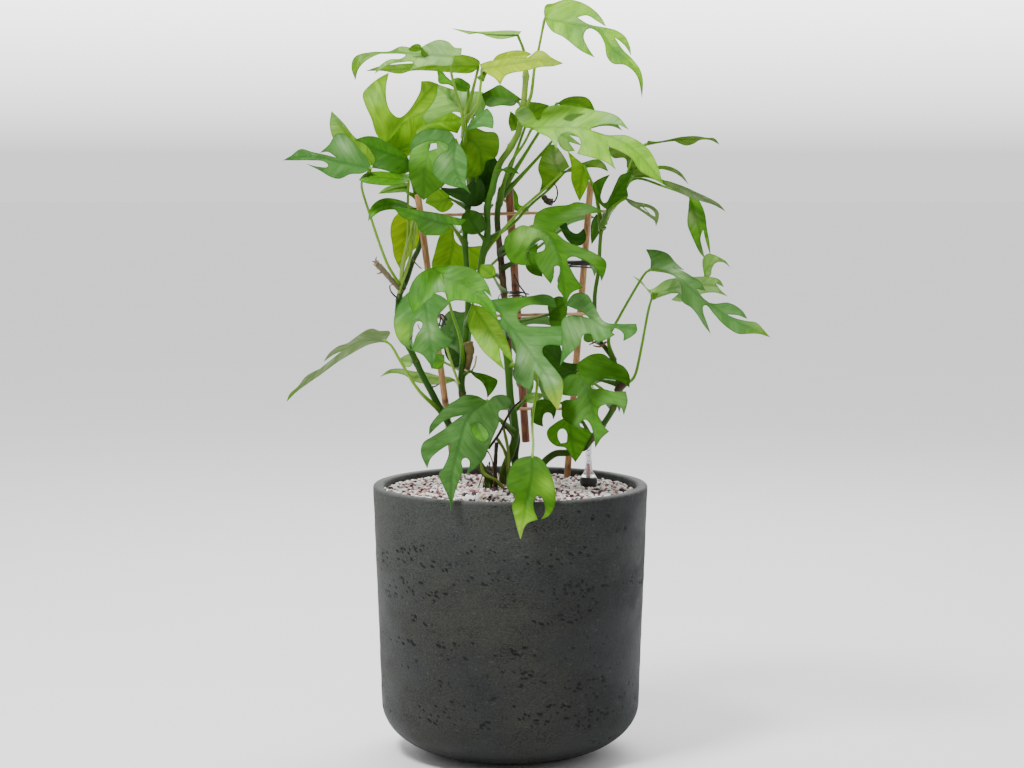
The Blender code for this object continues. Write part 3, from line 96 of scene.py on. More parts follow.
# Vines
STEM_BURY = 226
PETIOLE_RADIUS = 1.7
BLADE = 0.55
EDGE_ON_LEAN = 1.5
OUTLINE_STEP = 2.4
MESH_STEP = 3.6
BACK_SCALE = 0.84
TONE_STRENGTH = 0.75

# Height of a row of even triangles, over their side
ROW_RISE = 0.866

# Lamps: place and aim in metres, power and width
LAMPS = {
    "key": ((-1.0, -1.0, 2.6), (0, 0, 0.5), 92, 0.7),
    "fill": ((1.9, -1.6, 1.1), (0, 0, 0.4), 3, 1.2),
    "back": ((0.5, 1.5, 2.0), (0, 0, 0.6), 30, 1.6),
}

# Brightness of the surroundings: axis of the direction, its range and the brightness at both ends
BACKDROP = (("Y", 0.2, 0.9, 0.42, 4.2), ("Z", 0.0, 0.07, 0.29, 1.0), ("Z", 0.03, 0.1, 1.2, 0.0))
FLOOR_REACH = 30

# Bamboo canes: top and foot on the front drawing as (x, z), and radius
CANES = {
    "trellis_cane_left": dict(top=(-100, 610), foot=(-60, 299), radius=3.8),
    "trellis_cane_middle": dict(top=(-2, 623), foot=(17, 341), radius=4.6),
    "trellis_cane_right": dict(top=(87, 624), foot=(62, 301), radius=3.8),
}

# Crossbars: left and right end on the front drawing
CROSSBARS = {
    "trellis_crossbar_top": ((-116, 587), (108, 592)),
    "trellis_crossbar_middle": ((-98, 477), (88, 481)),
    "trellis_crossbar_bottom": ((-80, 377), (78, 377)),
}

# Wire ties: cane, height and how far the loop reaches to the left
TIES = {
    "wire_tie_right": ("trellis_cane_right", 536, 14),
    "wire_tie_middle": ("trellis_cane_middle", 504, 8),
    "wire_tie_left": ("trellis_cane_left", 462, 9),
}

# Stems: foot in the granulate as (x, y), then points of the front drawing with depth. They
# taper from radius to top_radius.
STEMS = {
    "vine_left": dict(foot=(-23, 24), radius=4.4, top_radius=2.4, path=(
        (-28, 307, 20), (-44, 326, 14), (-61, 350, 6), (-76, 376, 0), (-88, 399, 0), (-97, 416, 4),
        (-107, 438, 8), (-116, 455, 12), (-122, 480, 18), (-120, 502, 26), (-113, 517, 38),
        (-106, 538, 58), (-99, 553, 73), (-95, 575, 76), (-101, 605, 66), (-106, 632, 50),
        (-103, 660, 44))),
    "vine_inner_left": dict(foot=(-24, -4), radius=4.4, top_radius=2.4, path=(
        (-28, 307, -6), (-39, 327, -10), (-49, 372, -12), (-53, 400, -14), (-52, 424, -12),
        (-48, 460, -8), (-46, 492, -4), (-48, 538, 2), (-49, 569, 6), (-44, 613, 16), (-48, 642, 28),
        (-50, 668, 26), (-48, 692, 12))),
    "vine_centre": dict(foot=(-8, 18), radius=4.6, top_radius=3.2, path=(
        (-6, 312, 14), (1, 330, 10), (5, 346, 6), (4, 368, 5), (0, 388, 4), (-3, 430, 4),
        (-9, 452, 5), (-21, 478, 6), (-33, 505, 6),
        (-31, 538, 6), (-25, 566, 4), (-25, 595, 0), (-20, 615, -2), (-12, 642, -4),
        (-1, 659, -6), (9, 678, -8), (14, 706, -10), (17, 738, -12))),
    "vine_middle": dict(foot=(6, 40), radius=4.2, top_radius=3.2, path=(
        (5, 325, 38), (7, 345, 36), (2, 367, 34), (-1, 400, 34), (-1, 426, 34),
        (-4, 470, 34), (-7, 505, 34), (-10, 538, 34), (-13, 566, 34), (-14, 590, 32),
        (-9, 618, 28))),
    "vine_right": dict(foot=(28, -10), radius=4.2, top_radius=1.9, path=(
        (34, 314, -12), (48, 327, -14), (64, 329, -14), (81, 335, -12), (91, 347, -10),
        (103, 362, -8), (113, 379, -8), (119, 398, -8), (116, 416, -8), (112, 431, -6),
        (104, 443, -4), (95, 455, -2), (92, 478, 2), (92, 503, 6), (96, 530, 8),
        (98, 566, 4), (104, 590, -4))),
}

# Leaves, in the order of the front view from top to bottom. root is a height on the stem or a
# point, via bends the petiole, rib is the midrib from base to tip, lean turns the blade about
# it and edge is the cut outline from the base round to the base again.
LEAVES = {
    "crown_right": dict(
        vine="vine_centre", root=698, via=((22, 716, -12), (26, 746, -13), (30, 764, -14)), lean=0.35,
        rib=((37, 799, -16), (72, 792, -34), (94, 788, -46), (110, 767, -58), (128, 752, -67),
             (139, 737, -74), (142, 715, -78)),
        edge=((37, 799), (38, 813), (46, 815), (60, 819), (76, 816), (91, 807), (99, 798),
              (103, 790), (93, 796), (82, 802), (72, 800), (84, 793), (103, 789), (114, 786),
              (123, 780), (129, 768), (130, 759), (123, 770), (112, 779), (121, 766),
              (132, 755), (140, 744), (143, 732), (142, 714), (136, 738), (124, 749),
              (110, 751), (104, 758), (101, 773), (93, 785), (84, 788), (79, 781), (83, 769),
              (91, 757), (75, 765), (57, 779), (44, 786))),
    "crown_edge_on": dict(
        vine="vine_centre", root=736, via=((15, 762, -10),), lean=-4.5,
        rib=((8, 781, -6), (-25, 782, 6), (-62, 788, 22)),
        edge=((8, 781), (12, 785), (-2, 786), (-22, 785), (-40, 785), (-62, 788), (-44, 782),
              (-33, 783), (-25, 780), (-12, 777), (-2, 778))),
    "young_lime": dict(
        vine="vine_inner_left", root=690, via=((-36, 706, -22), (-32, 728, -30)), lean=0.7,
        rib=((-31, 745, -34), (0, 750, -50), (28, 754, -62), (57, 751, -74)),
        edge=((-31, 745), (-33, 750), (-24, 753), (-14, 755), (-4, 757), (8, 757), (18, 757),
              (23, 760), (28, 764), (35, 764), (45, 757), (57, 751), (46, 748), (32, 747),
              (16, 743), (3, 741), (-5, 738), (-11, 728), (-17, 735), (-25, 740))),
    "lime_behind": dict(
        vine="vine_inner_left", root=(-32, 734, -32), via=(), lean=0.3,
        rib=((-20, 752, -22), (0, 759, -28), (23, 761, -36)),
        edge=((-20, 752), (-15, 759), (-5, 763), (7, 765), (16, 764), (23, 761), (14, 756),
              (2, 754))),
    "crown_left_pale": dict(
        vine="vine_inner_left", root=672, via=((-52, 696, -18), (-60, 725, -26), (-64, 746, -32)),
        lean=-0.8,
        rib=((-60, 758, -34), (-92, 760, -46), (-130, 762, -60), (-158, 757, -72), (-167, 734, -80)),
        edge=((-60, 758), (-53, 759), (-52, 767), (-60, 768), (-67, 774), (-78, 776), (-89, 772),
              (-97, 768), (-108, 768), (-118, 769), (-130, 764), (-150, 763), (-167, 758),
              (-171, 747), (-167, 733), (-163, 746), (-152, 756), (-131, 763), (-113, 760),
              (-118, 756), (-130, 755), (-141, 748), (-146, 740), (-132, 749), (-118, 752),
              (-104, 751), (-108, 744), (-96, 747), (-84, 749), (-72, 748), (-63, 750))),
    "crown_left_fold": dict(
        vine="vine_inner_left", root=(-93, 761, -46), via=(), lean=0.5,
        rib=((-95, 766, -53), (-102, 768, -56), (-110, 765, -58)),
        edge=((-95, 766), (-97, 771), (-104, 771), (-110, 766), (-107, 764), (-99, 764))),
    "crown_left_under": dict(
        vine="vine_inner_left", root=706, via=((-40, 724, -8),), lean=1.6,
        rib=((-34, 748, -4), (-80, 748, 8), (-120, 745, 18), (-155, 743, 30)),
        edge=((-34, 748), (-33, 753), (-51, 760), (-72, 757), (-96, 752), (-122, 750),
              (-140, 748), (-155, 743), (-138, 743), (-118, 740), (-107, 743), (-84, 743),
              (-60, 741), (-42, 741))),
    "large_backlit": dict(
        vine="vine_left", root=640, via=((-118, 646, 52),), lean=0.25,
        rib=((-135, 664, 50), (-122, 686, 42), (-104, 702, 34), (-80, 731, 20)),
        edge=((-135, 664), (-144, 674), (-150, 692), (-157, 708), (-159, 718), (-151, 728),
              (-142, 735), (-131, 741), (-134, 725), (-133, 709), (-128, 698), (-120, 693),
              (-112, 698), (-103, 710), (-97, 722), (-96, 732), (-87, 732), (-78, 729),
              (-80, 716), (-87, 704), (-98, 696), (-110, 690), (-122, 678))),
    "folded_pale": dict(
        vine="vine_inner_left", root=676, via=((-44, 684, 12),), lean=0.3,
        rib=((-40, 694, 30), (-58, 708, 40), (-79, 728, 50)),
        edge=((-40, 694), (-31, 698), (-26, 707), (-28, 719), (-44, 721), (-60, 723),
              (-79, 729), (-81, 715), (-88, 704), (-96, 694), (-90, 687), (-76, 693),
              (-60, 699))),
    "dark_hump": dict(
        vine="vine_inner_left", root=708, via=(), lean=0.4,
        rib=((-45, 722, 8), (-62, 731, 22), (-80, 747, 36)),
        edge=((-45, 722), (-43, 727), (-48, 732), (-57, 736), (-65, 733), (-72, 741),
              (-80, 748), (-78, 738), (-77, 730), (-66, 728), (-56, 722))),
    "dark_under_lime": dict(
        vine="vine_centre", root=704, via=(), lean=-0.4,
        rib=((8, 710, -2), (-10, 714, 4), (-30, 716, 10)),
        edge=((8, 710), (13, 712), (5, 718), (-4, 724), (-11, 728), (-20, 724), (-31, 718),
              (-28, 710), (-25, 705), (-10, 706), (4, 706))),
    "far_left_top": dict(
        vine="vine_left", root=508,
        via=((-125, 520, 16), (-136, 541, 8), (-152, 588, 4), (-161, 622, 2)), lean=-0.5,
        rib=((-150, 638, -8), (-184, 645, -22), (-214, 651, -38), (-246, 647, -52)),
        edge=((-150, 638), (-156, 650), (-166, 662), (-173, 670), (-181, 676), (-188, 675),
              (-196, 664), (-206, 655), (-197, 656), (-188, 650), (-200, 653), (-214, 656),
              (-227, 659), (-237, 652), (-246, 647), (-232, 647), (-217, 647), (-200, 645),
              (-197, 641), (-207, 640), (-220, 643), (-206, 636), (-194, 629), (-185, 627),
              (-173, 632), (-160, 633))),
    "olive_spike": dict(
        vine="vine_left", root=628, via=((-124, 634, 52),), lean=0.3,
        rib=((-148, 642, 42), (-168, 664, 38), (-193, 699, 30)),
        edge=((-148, 642), (-142, 654), (-149, 664), (-160, 667), (-168, 672), (-180, 687),
              (-193, 700), (-195, 686), (-192, 672), (-181, 656), (-164, 645))),
    "left_green": dict(
        vine="vine_left", root=650, via=(), lean=0.5,
        rib=((-109, 646, 22), (-134, 655, 12), (-169, 669, 4)),
        edge=((-109, 646), (-112, 652), (-124, 660), (-135, 667), (-144, 672), (-155, 673),
              (-169, 669), (-158, 665), (-150, 656), (-146, 648), (-150, 639), (-138, 637),
              (-124, 633), (-111, 634), (-106, 640))),
    "left_edge_on": dict(
        vine="vine_left", root=508, via=((-118, 530, 28), (-111, 562, 40), (-111, 600, 34)),
        lean=-2.2,
        rib=((-110, 625, 20), (-136, 628, -2), (-164, 627, -20)),
        edge=((-110, 625), (-108, 629), (-120, 632), (-140, 635), (-156, 633), (-164, 626),
              (-158, 623), (-146, 621), (-130, 620), (-116, 622))),
    "left_sliver": dict(
        vine="vine_left", root=608, via=((-112, 613, 52),), lean=1.5,
        rib=((-111, 618, 34), (-126, 616, 30), (-143, 611, 24)),
        edge=((-111, 618), (-109, 623), (-122, 621), (-134, 618), (-143, 611), (-128, 612),
              (-112, 613))),
    "left_arched": dict(
        vine="vine_left", root=590, via=((-111, 598, 60),), lean=-0.9,
        rib=((-107, 594, 42), (-128, 600, 18), (-148, 594, -4), (-153, 581, -14)),
        edge=((-107, 594), (-111, 600), (-123, 605), (-137, 606), (-147, 601), (-153, 592),
              (-154, 582), (-148, 587), (-140, 592), (-128, 594), (-115, 592))),
    "over_crossbar": dict(
        vine="vine_inner_left", root=556, via=(), lean=0.6,
        rib=((-64, 577, -8), (-88, 583, -14), (-127, 597, -24)),
        edge=((-64, 577), (-54, 577), (-48, 583), (-62, 586), (-78, 590), (-98, 593),
              (-112, 595), (-127, 597), (-121, 589), (-112, 583), (-103, 581), (-99, 572),
              (-93, 567), (-84, 566), (-74, 567), (-68, 572))),
    "yellow_hanging": dict(
        vine="vine_left", root=594, via=((-103, 596, 84),), lean=0.4,
        rib=((-108, 590, 98), (-115, 562, 104), (-119, 529, 96)),
        edge=((-108, 590), (-117, 592), (-126, 585), (-130, 572), (-128, 556), (-126, 543),
              (-119, 528), (-113, 538), (-108, 547), (-99, 556), (-97, 575), (-100, 586))),
    "yellow_behind": dict(
        vine="vine_inner_left", root=575, via=((-56, 570, 40),), lean=0.3,
        rib=((-64, 584, 98), (-62, 556, 108), (-72, 516, 100)),
        edge=((-64, 584), (-72, 576), (-77, 565), (-82, 548), (-85, 531), (-72, 515),
              (-52, 519), (-35, 530), (-29, 543), (-30, 555), (-45, 554), (-57, 557))),
    "dark_left_inner": dict(
        vine="vine_left", root=656, via=(), lean=-0.3,
        rib=((-86, 670, 26), (-92, 640, 14), (-94, 606, 6)),
        edge=((-86, 670), (-97, 668), (-107, 657), (-110, 640), (-108, 624), (-102, 612),
              (-94, 604), (-84, 612), (-72, 620), (-63, 640), (-60, 658), (-66, 668)),
        holes=(((-88, 657), (-79, 660), (-80, 667), (-87, 664)),)),
    "olive_backlit": dict(
        vine="vine_left", root=660, via=(), lean=0.2,
        rib=((-102, 668, 60), (-98, 684, 66), (-58, 690, 70)),
        edge=((-102, 668), (-106, 655), (-118, 648), (-136, 667), (-124, 683), (-108, 697),
              (-86, 705), (-66, 700), (-50, 691), (-57, 676), (-76, 680), (-93, 678))),
    "ovate_front": dict(
        vine="vine_inner_left", root=644, via=(), lean=0.35,
        rib=((-59, 669, -22), (-61, 646, -34), (-53, 622, -40), (-43, 611, -42)),
        edge=((-59, 669), (-64, 677), (-80, 681), (-95, 679), (-105, 671), (-109, 658),
              (-98, 664), (-86, 668), (-74, 667), (-67, 661), (-77, 653), (-84, 641),
              (-82, 631), (-71, 622), (-59, 618), (-50, 617), (-43, 611), (-48, 622),
              (-47, 635), (-47, 650), (-52, 660))),
    "bluish_triangle": dict(
        vine="vine_inner_left", root=662, via=(), lean=0.9,
        rib=((-48, 679, -14), (-36, 690, -22), (-25, 703, -30)),
        edge=((-48, 679), (-42, 689), (-33, 698), (-25, 703), (-20, 697), (-18, 688),
              (-19, 681), (-30, 683), (-40, 681))),
    "olive_centre": dict(
        vine="vine_inner_left", root=650, via=(), lean=-0.3,
        rib=((-50, 674, 12), (-34, 660, 16), (-30, 634, 18)),
        edge=((-50, 674), (-40, 682), (-27, 678), (-15, 676), (-12, 662), (-16, 650),
              (-26, 646), (-30, 634), (-39, 628), (-54, 636), (-56, 658))),
    "small_yellow": dict(
        vine="vine_inner_left", root=596, via=(), lean=0.4,
        rib=((-66, 606, 36), (-78, 603, 40), (-92, 602, 44)),
        edge=((-66, 606), (-66, 611), (-76, 616), (-83, 615), (-90, 608), (-92, 601),
              (-84, 597), (-74, 591), (-66, 594), (-61, 600))),
    "dark_inner_centre": dict(
        vine="vine_centre", root=596, via=((-20, 600, 30),), lean=0.3,
        rib=((-30, 604, 34), (-28, 624, 42), (-20, 648, 46)),
        edge=((-30, 604), (-40, 606), (-46, 620), (-44, 638), (-34, 648), (-20, 652),
              (-14, 646), (-14, 626), (-20, 606))),
    "dark_thin_lobe": dict(
        vine="vine_centre", root=634, via=(), lean=0.8,
        rib=((-9, 637, -14), (0, 637, -16), (10, 632, -18)),
        edge=((-9, 637), (-4, 640), (3, 639), (10, 632), (2, 634), (-5, 634))),
    "dark_below_crossbar": dict(
        vine="vine_centre", root=560, via=(), lean=0.3,
        rib=((-34, 568, -4), (-41, 580, -4), (-46, 592, -4)),
        edge=((-34, 568), (-44, 567), (-52, 572), (-53, 586), (-46, 593), (-36, 592),
              (-29, 586), (-28, 572))),
    "behind_right_cane": dict(
        vine="vine_right", root=574, via=(), lean=0.3,
        rib=((98, 586, 14), (93, 574, 20), (88, 556, 26)),
        edge=((98, 586), (103, 588), (100, 577), (95, 566), (88, 556), (87, 568), (88, 580),
              (93, 589))),
    "deep_shade": dict(
        vine="vine_inner_left", root=604, via=(), lean=0.2,
        rib=((-36, 628, 6), (-48, 612, 5), (-76, 617, 8)),
        edge=((-36, 628), (-47, 620), (-62, 617), (-77, 618), (-67, 610), (-52, 602),
              (-41, 597), (-31, 600), (-27, 613), (-30, 624))),
    "right_light": dict(
        vine="vine_middle", root=600, via=((-2, 639, 6), (14, 664, -18)), lean=0.5,
        rib=((23, 681, -34), (60, 683, -52), (97, 677, -66), (134, 658, -84), (165, 623, -104)),
        edge=((23, 681), (14, 683), (8, 691), (5, 699), (15, 706), (24, 699), (31, 690),
              (34, 698), (42, 705), (58, 706), (75, 704), (90, 701), (103, 699), (116, 694),
              (128, 680), (117, 685), (103, 686), (93, 684), (87, 681), (95, 676), (108, 674),
              (124, 674), (138, 668), (150, 658), (159, 642), (165, 622), (150, 630),
              (140, 636), (131, 649), (118, 657), (105, 662), (109, 651), (114, 637),
              (103, 645), (88, 650), (72, 654), (76, 664), (74, 671), (63, 677), (54, 674),
              (50, 659), (42, 671), (32, 676)),
        holes=(((57, 691), (63, 696), (74, 697), (80, 697), (70, 692), (66, 689)),)),
    "olive_basal": dict(
        vine="vine_middle", root=610, via=((6, 655, 20),), lean=-0.4,
        rib=((20, 694, 16), (30, 702, 18), (42, 705, 20)),
        edge=((20, 694), (15, 700), (19, 710), (31, 709), (42, 706), (36, 698), (30, 691))),
    "dark_basal": dict(
        vine="vine_centre", root=662, via=(), lean=0.4,
        rib=((8, 680, 8), (4, 690, 12), (0, 700, 14)),
        edge=((8, 680), (1, 678), (-2, 688), (0, 700), (9, 692), (13, 682))),
    "dark_above_right": dict(
        vine="vine_middle", root=612, via=((20, 660, 24), (40, 692, 26)), lean=-0.5,
        rib=((50, 708, 24), (70, 710, 20), (91, 701, 14)),
        edge=((50, 708), (60, 714), (72, 716), (83, 714), (88, 708), (91, 701), (75, 702),
              (60, 704))),
    "striped_pale": dict(
        vine="vine_middle", root=606, via=((30, 650, 30),), lean=0.3,
        rib=((52, 676, 30), (63, 671, 28), (79, 661, 26)),
        edge=((52, 676), (53, 682), (65, 680), (77, 671), (64, 674), (79, 662), (63, 667),
              (70, 657), (60, 657), (52, 665))),
    "olive_oval": dict(
        vine="vine_centre", root=549, via=((-6, 574, 14), (14, 596, 16), (38, 617, 18)),
        lean=0.2,
        rib=((55, 633, 18), (48, 645, 20), (46, 664, 22)),
        edge=((55, 633), (48, 623), (40, 616), (31, 612), (34, 624), (30, 638), (32, 647),
              (36, 656), (42, 663), (47, 664), (54, 657), (60, 648), (64, 640))),
    "yellow_right": dict(
        vine="vine_right", root=572, via=((92, 612, 16),), lean=0.3,
        rib=((80, 641, 26), (76, 622, 28), (75, 604, 26)),
        edge=((80, 641), (70, 650), (62, 657), (66, 640), (66, 626), (70, 614), (75, 603),
              (81, 614), (85, 627))),
    "olive_edge_on": dict(
        vine="vine_centre", root=560, via=((2, 578, 22), (22, 599, 26), (42, 616, 28)),
        lean=-1.5,
        rib=((58, 634, 28), (80, 642, 34), (106, 635, 40)),
        edge=((58, 634), (66, 640), (80, 645), (94, 648), (101, 644), (106, 635), (96, 639),
              (82, 639), (68, 635))),
    "far_right_edge_on": dict(
        vine="vine_right", root=586, via=((122, 620, -10), (134, 652, -16)), lean=2.0,
        rib=((146, 664, -22), (172, 668, -34), (200, 669, -46), (226, 664, -58)),
        edge=((146, 664), (149, 668), (158, 667), (170, 669), (184, 672), (200, 673),
              (214, 671), (219, 671), (226, 664), (215, 669), (205, 669), (198, 665), (190, 663),
              (183, 665), (176, 668), (160, 666))),
    "right_drooping": dict(
        vine="vine_right", root=588, via=((118, 604, -10),), lean=1.1,
        rib=((131, 629, -18), (160, 629, -38), (195, 613, -60), (233, 592, -80)),
        edge=((131, 629), (126, 640), (124, 649), (111, 650), (105, 664), (116, 661),
              (129, 656), (137, 643), (148, 636), (160, 641), (173, 640), (184, 634),
              (193, 621), (182, 631), (171, 636), (160, 637), (157, 629), (173, 624),
              (190, 618), (203, 612), (216, 606), (226, 600),
              (233, 592), (220, 599), (207, 603), (194, 607), (182, 613), (168, 620),
              (154, 627), (141, 629))),
    "right_hanging": dict(
        vine="vine_right", root=584, via=((116, 604, 2), (134, 627, -6), (166, 619, -26)),
        lean=0.5,
        rib=((194, 609, -42), (199, 590, -50), (205, 572, -54), (211, 542, -56)),
        edge=((194, 609), (193, 596), (192, 578), (196, 567), (201, 556), (205, 548),
              (211, 541), (208, 553), (206, 563), (209, 572), (212, 560), (217, 544),
              (216, 558), (213, 574), (211, 588), (207, 599), (201, 607))),
    "right_forked": dict(
        vine="vine_right", root=580, via=(), lean=0.3,
        rib=((106, 594, -16), (114, 614, -22), (134, 636, -30)),
        edge=((106, 594), (99, 598), (91, 612), (90, 622), (98, 628), (108, 632), (103, 624),
              (99, 614), (98, 606), (102, 601), (108, 609), (114, 622), (119, 631), (127, 634),
              (134, 637), (130, 629), (126, 619), (127, 607), (119, 601), (112, 596))),
    "right_curled": dict(
        vine="vine_right", root=588, via=((113, 598, -28),), lean=0.7,
        rib=((124, 606, -38), (142, 598, -46), (157, 582, -54)),
        edge=((124, 606), (133, 603), (143, 601), (153, 598), (160, 592), (161, 586),
              (158, 576), (156, 582), (152, 585), (145, 590), (137, 595), (129, 600)),
        holes=(((139, 597), (149, 596), (156, 591), (157, 586), (148, 591)),)),
    "far_right_main": dict(
        vine="vine_right", root=430, via=((107, 452, -10), (115, 471, -16), (143, 520, -28)),
        lean=0.45,
        rib=((152, 529, -32), (178, 523, -44), (206, 500, -58), (240, 476, -74), (283, 455, -92)),
        edge=((152, 529), (152, 540), (147, 551), (160, 550), (171, 546), (180, 536),
              (189, 528), (177, 531), (188, 527), (198, 521), (206, 516), (212, 506),
              (202, 508), (208, 500), (214, 494), (222, 492), (236, 493), (246, 489),
              (254, 482), (258, 475), (248, 479), (236, 480), (245, 476), (257, 473),
              (268, 471), (276, 463), (283, 455), (270, 459), (259, 459), (248, 459),
              (240, 463), (230, 471), (221, 481), (211, 490), (210, 482), (213, 474),
              (218, 459), (210, 469), (203, 480), (196, 488), (187, 494), (186, 504),
              (184, 515), (176, 523), (164, 528))),
    "far_right_pale": dict(
        vine="vine_right", root=398, via=((128, 405, -8), (136, 414, -8), (142, 440, -10),
                                          (150, 484, -14)),
        lean=0.8,
        rib=((155, 501, -16), (182, 510, -10), (208, 512, -4), (232, 511, 4)),
        edge=((155, 501), (145, 511), (133, 522), (142, 517), (152, 507), (158, 510),
              (168, 517), (182, 520), (200, 521), (216, 521), (227, 518), (232, 510),
              (223, 514), (229, 506), (236, 500), (222, 504), (206, 502), (194, 496),
              (184, 494), (175, 496), (183, 503), (170, 503))),
    "far_right_upper": dict(
        vine="vine_right", root=(155, 500, -16), via=((184, 508, 8),), lean=0.4,
        rib=((211, 520, 22), (215, 532, 22), (239, 532, 22)),
        edge=((211, 520), (209, 530), (209, 541), (214, 546), (221, 545), (229, 541),
              (234, 538), (239, 531), (230, 537), (223, 536), (219, 530), (217, 522))),
    "centre_vivid": dict(
        vine="vine_middle", root=548, via=((6, 566, -6),), lean=-0.25,
        rib=((23, 576, -52), (42, 566, -62), (53, 542, -74), (57, 518, -82), (60, 490, -88)),
        edge=((23, 576), (27, 588), (36, 595), (50, 598), (62, 599), (71, 602), (83, 600),
              (101, 592), (80, 588), (66, 583), (55, 577), (49, 572), (55, 564), (64, 558),
              (77, 553), (91, 547), (104, 537), (103, 526), (99, 516), (95, 527), (82, 538),
              (63, 541), (67, 527), (73, 517), (79, 509), (66, 503), (60, 489), (57, 500),
              (51, 510), (54, 521), (52, 533), (48, 532), (47, 521), (44, 513), (36, 523),
              (28, 536), (26, 545), (37, 551), (36, 559), (30, 563), (23, 558), (18, 548),
              (17, 540), (22, 534), (10, 534), (0, 538), (-6, 550), (-6, 562), (2, 571),
              (13, 577))),
    "dark_under_top_lobe": dict(
        vine="vine_middle", root=530, via=((20, 546, 12),), lean=0.3,
        rib=((55, 572, 18), (66, 563, 20), (81, 562, 22)),
        edge=((55, 572), (52, 580), (60, 580), (64, 572), (72, 568), (80, 574), (82, 562),
              (76, 555), (66, 557))),
    "dark_in_sinus": dict(
        vine="vine_middle", root=545, via=((5, 550, 4),), lean=0.3,
        rib=((19, 547, -26), (23, 534, -32), (33, 523, -36)),
        edge=((19, 547), (20, 550), (30, 558), (29, 548), (28, 538), (34, 530), (35, 521),
              (24, 524), (17, 531), (17, 540))),
    "umbrella": dict(
        vine="vine_inner_left", root=426,
        via=((-54, 452, -38), (-64, 484, -74), (-69, 502, -82)), lean=0.4,
        rib=((-75, 523, -67), (-71, 520, -70), (-55, 515, -80), (-36, 502, -96), (-13, 473, -112)),
        edge=((-70, 503), (-82, 503), (-85, 499), (-92, 494), (-105, 480), (-111, 497),
              (-107, 514), (-98, 525), (-85, 531), (-70, 533), (-55, 533), (-42, 530),
              (-31, 522), (-24, 511), (-20, 499), (-29, 506), (-22, 497), (-17, 488),
              (-13, 472), (-24, 482), (-34, 491), (-44, 493), (-51, 495), (-62, 495), (-68, 492))),
    "pale_behind_umbrella": dict(
        vine="vine_middle", root=505, via=((-13, 512, 8),), lean=0.3,
        rib=((-18, 521, -22), (-24, 527, -26), (-32, 532, -30)),
        edge=((-18, 521), (-16, 528), (-20, 534), (-32, 534), (-33, 524), (-27, 519))),
    "bluish_lower_left": dict(
        vine="vine_left", root=482, via=((-112, 498, -6),), lean=0.3,
        rib=((-95, 508, -28), (-91, 478, -40), (-87, 450, -50), (-85, 422, -58)),
        edge=((-95, 508), (-108, 506), (-121, 492), (-127, 471), (-121, 451), (-109, 441),
              (-109, 458), (-103, 474), (-96, 471), (-103, 456), (-108, 441), (-96, 436), (-90, 429),
              (-85, 422), (-82, 432), (-78, 440), (-68, 445), (-62, 452), (-72, 459),
              (-79, 470), (-78, 480), (-70, 488), (-66, 493), (-73, 499), (-84, 504))),
    "front_yellow_green": dict(
        vine="vine_inner_left", root=470, via=(), lean=0.15,
        rib=((-41, 491, -66), (-28, 470, -78), (-13, 448, -88), (4, 427, -94)),
        edge=((-41, 491), (-30, 488), (-20, 480), (-11, 468), (-4, 453), (4, 427), (-6, 436),
              (-12, 444), (-10, 431), (-6, 419), (-18, 429), (-28, 438), (-38, 452),
              (-45, 465), (-46, 479))),
    "centre_bluish": dict(
        vine="vine_middle", root=456, via=(), lean=0.28,
        rib=((-10, 479, -38), (6, 459, -48), (28, 430, -62), (45, 404, -74), (52, 375, -84)),
        edge=((-10, 479), (-20, 487), (-21, 496), (-7, 498), (8, 499), (22, 500), (37, 502),
              (47, 498), (50, 488), (37, 490), (17, 489), (8, 481), (11, 471), (33, 467),
              (57, 468), (56, 446), (38, 446), (34, 440), (40, 431), (50, 419), (57, 408),
              (57, 394), (52, 375), (45, 384), (38, 394), (32, 410), (26, 418), (25, 407),
              (21, 397), (11, 403), (3, 412), (5, 427), (5, 445), (-2, 458), (-11, 468))),
    "dark_between": dict(
        vine="vine_middle", root=470, via=((18, 474, 6),), lean=0.3,
        rib=((42, 480, -18), (50, 486, -20), (60, 493, -22)),
        edge=((42, 480), (41, 491), (52, 500), (60, 497), (62, 486), (56, 464), (45, 466))),
    "right_folded": dict(
        vine="vine_right", root=454, via=(), lean=0.25,
        rib=((89, 476, -76), (101, 467, -80), (118, 467, -81), (136, 464, -82)),
        edge=((86, 476), (79, 482), (68, 487), (60, 490), (63, 496), (70, 503), (83, 502),
              (91, 490), (103, 472), (118, 470), (137, 470), (138, 462), (132, 456), (123, 451),
              (123, 459), (114, 465), (109, 463), (114, 458), (105, 453), (92, 451), (87, 459),
              (80, 458), (75, 447), (63, 435), (54, 424), (56, 440), (56, 458), (57, 475),
              (66, 479), (78, 478))),
    "lower_right_large": dict(
        vine="vine_right", root=384, via=((98, 400, -16),), lean=-0.2,
        rib=((74, 416, -42), (84, 396, -54), (92, 364, -70), (93, 336, -84)),
        edge=((74, 416), (72, 424), (80, 432), (90, 437), (101, 437), (112, 429), (124, 423),
              (130, 413), (130, 400), (120, 407), (105, 410), (93, 407), (88, 400),
              (100, 399), (113, 396), (126, 396), (128, 386), (124, 370), (120, 379),
              (108, 382), (98, 379), (96, 369), (102, 358), (108, 352), (100, 345), (93, 334),
              (91, 347), (87, 360), (81, 365), (76, 361), (79, 353), (68, 359), (57, 367),
              (56, 376), (57, 385), (73, 389), (73, 391), (64, 391), (55, 394), (56, 406),
              (64, 414))),
    "dark_lower_right": dict(
        vine="vine_right", root=335, via=((79, 352, -18),), lean=0.2,
        rib=((64, 369, -30), (66, 345, -38), (71, 319, -44)),
        edge=((64, 369), (50, 362), (40, 352), (42, 343), (50, 336), (60, 334), (66, 326),
              (71, 318), (78, 328), (84, 340), (90, 350), (78, 357), (68, 362)),
        holes=(((53, 353), (58, 355), (62, 350), (62, 341), (55, 339), (52, 345)),)),
    "dark_behind_centre": dict(
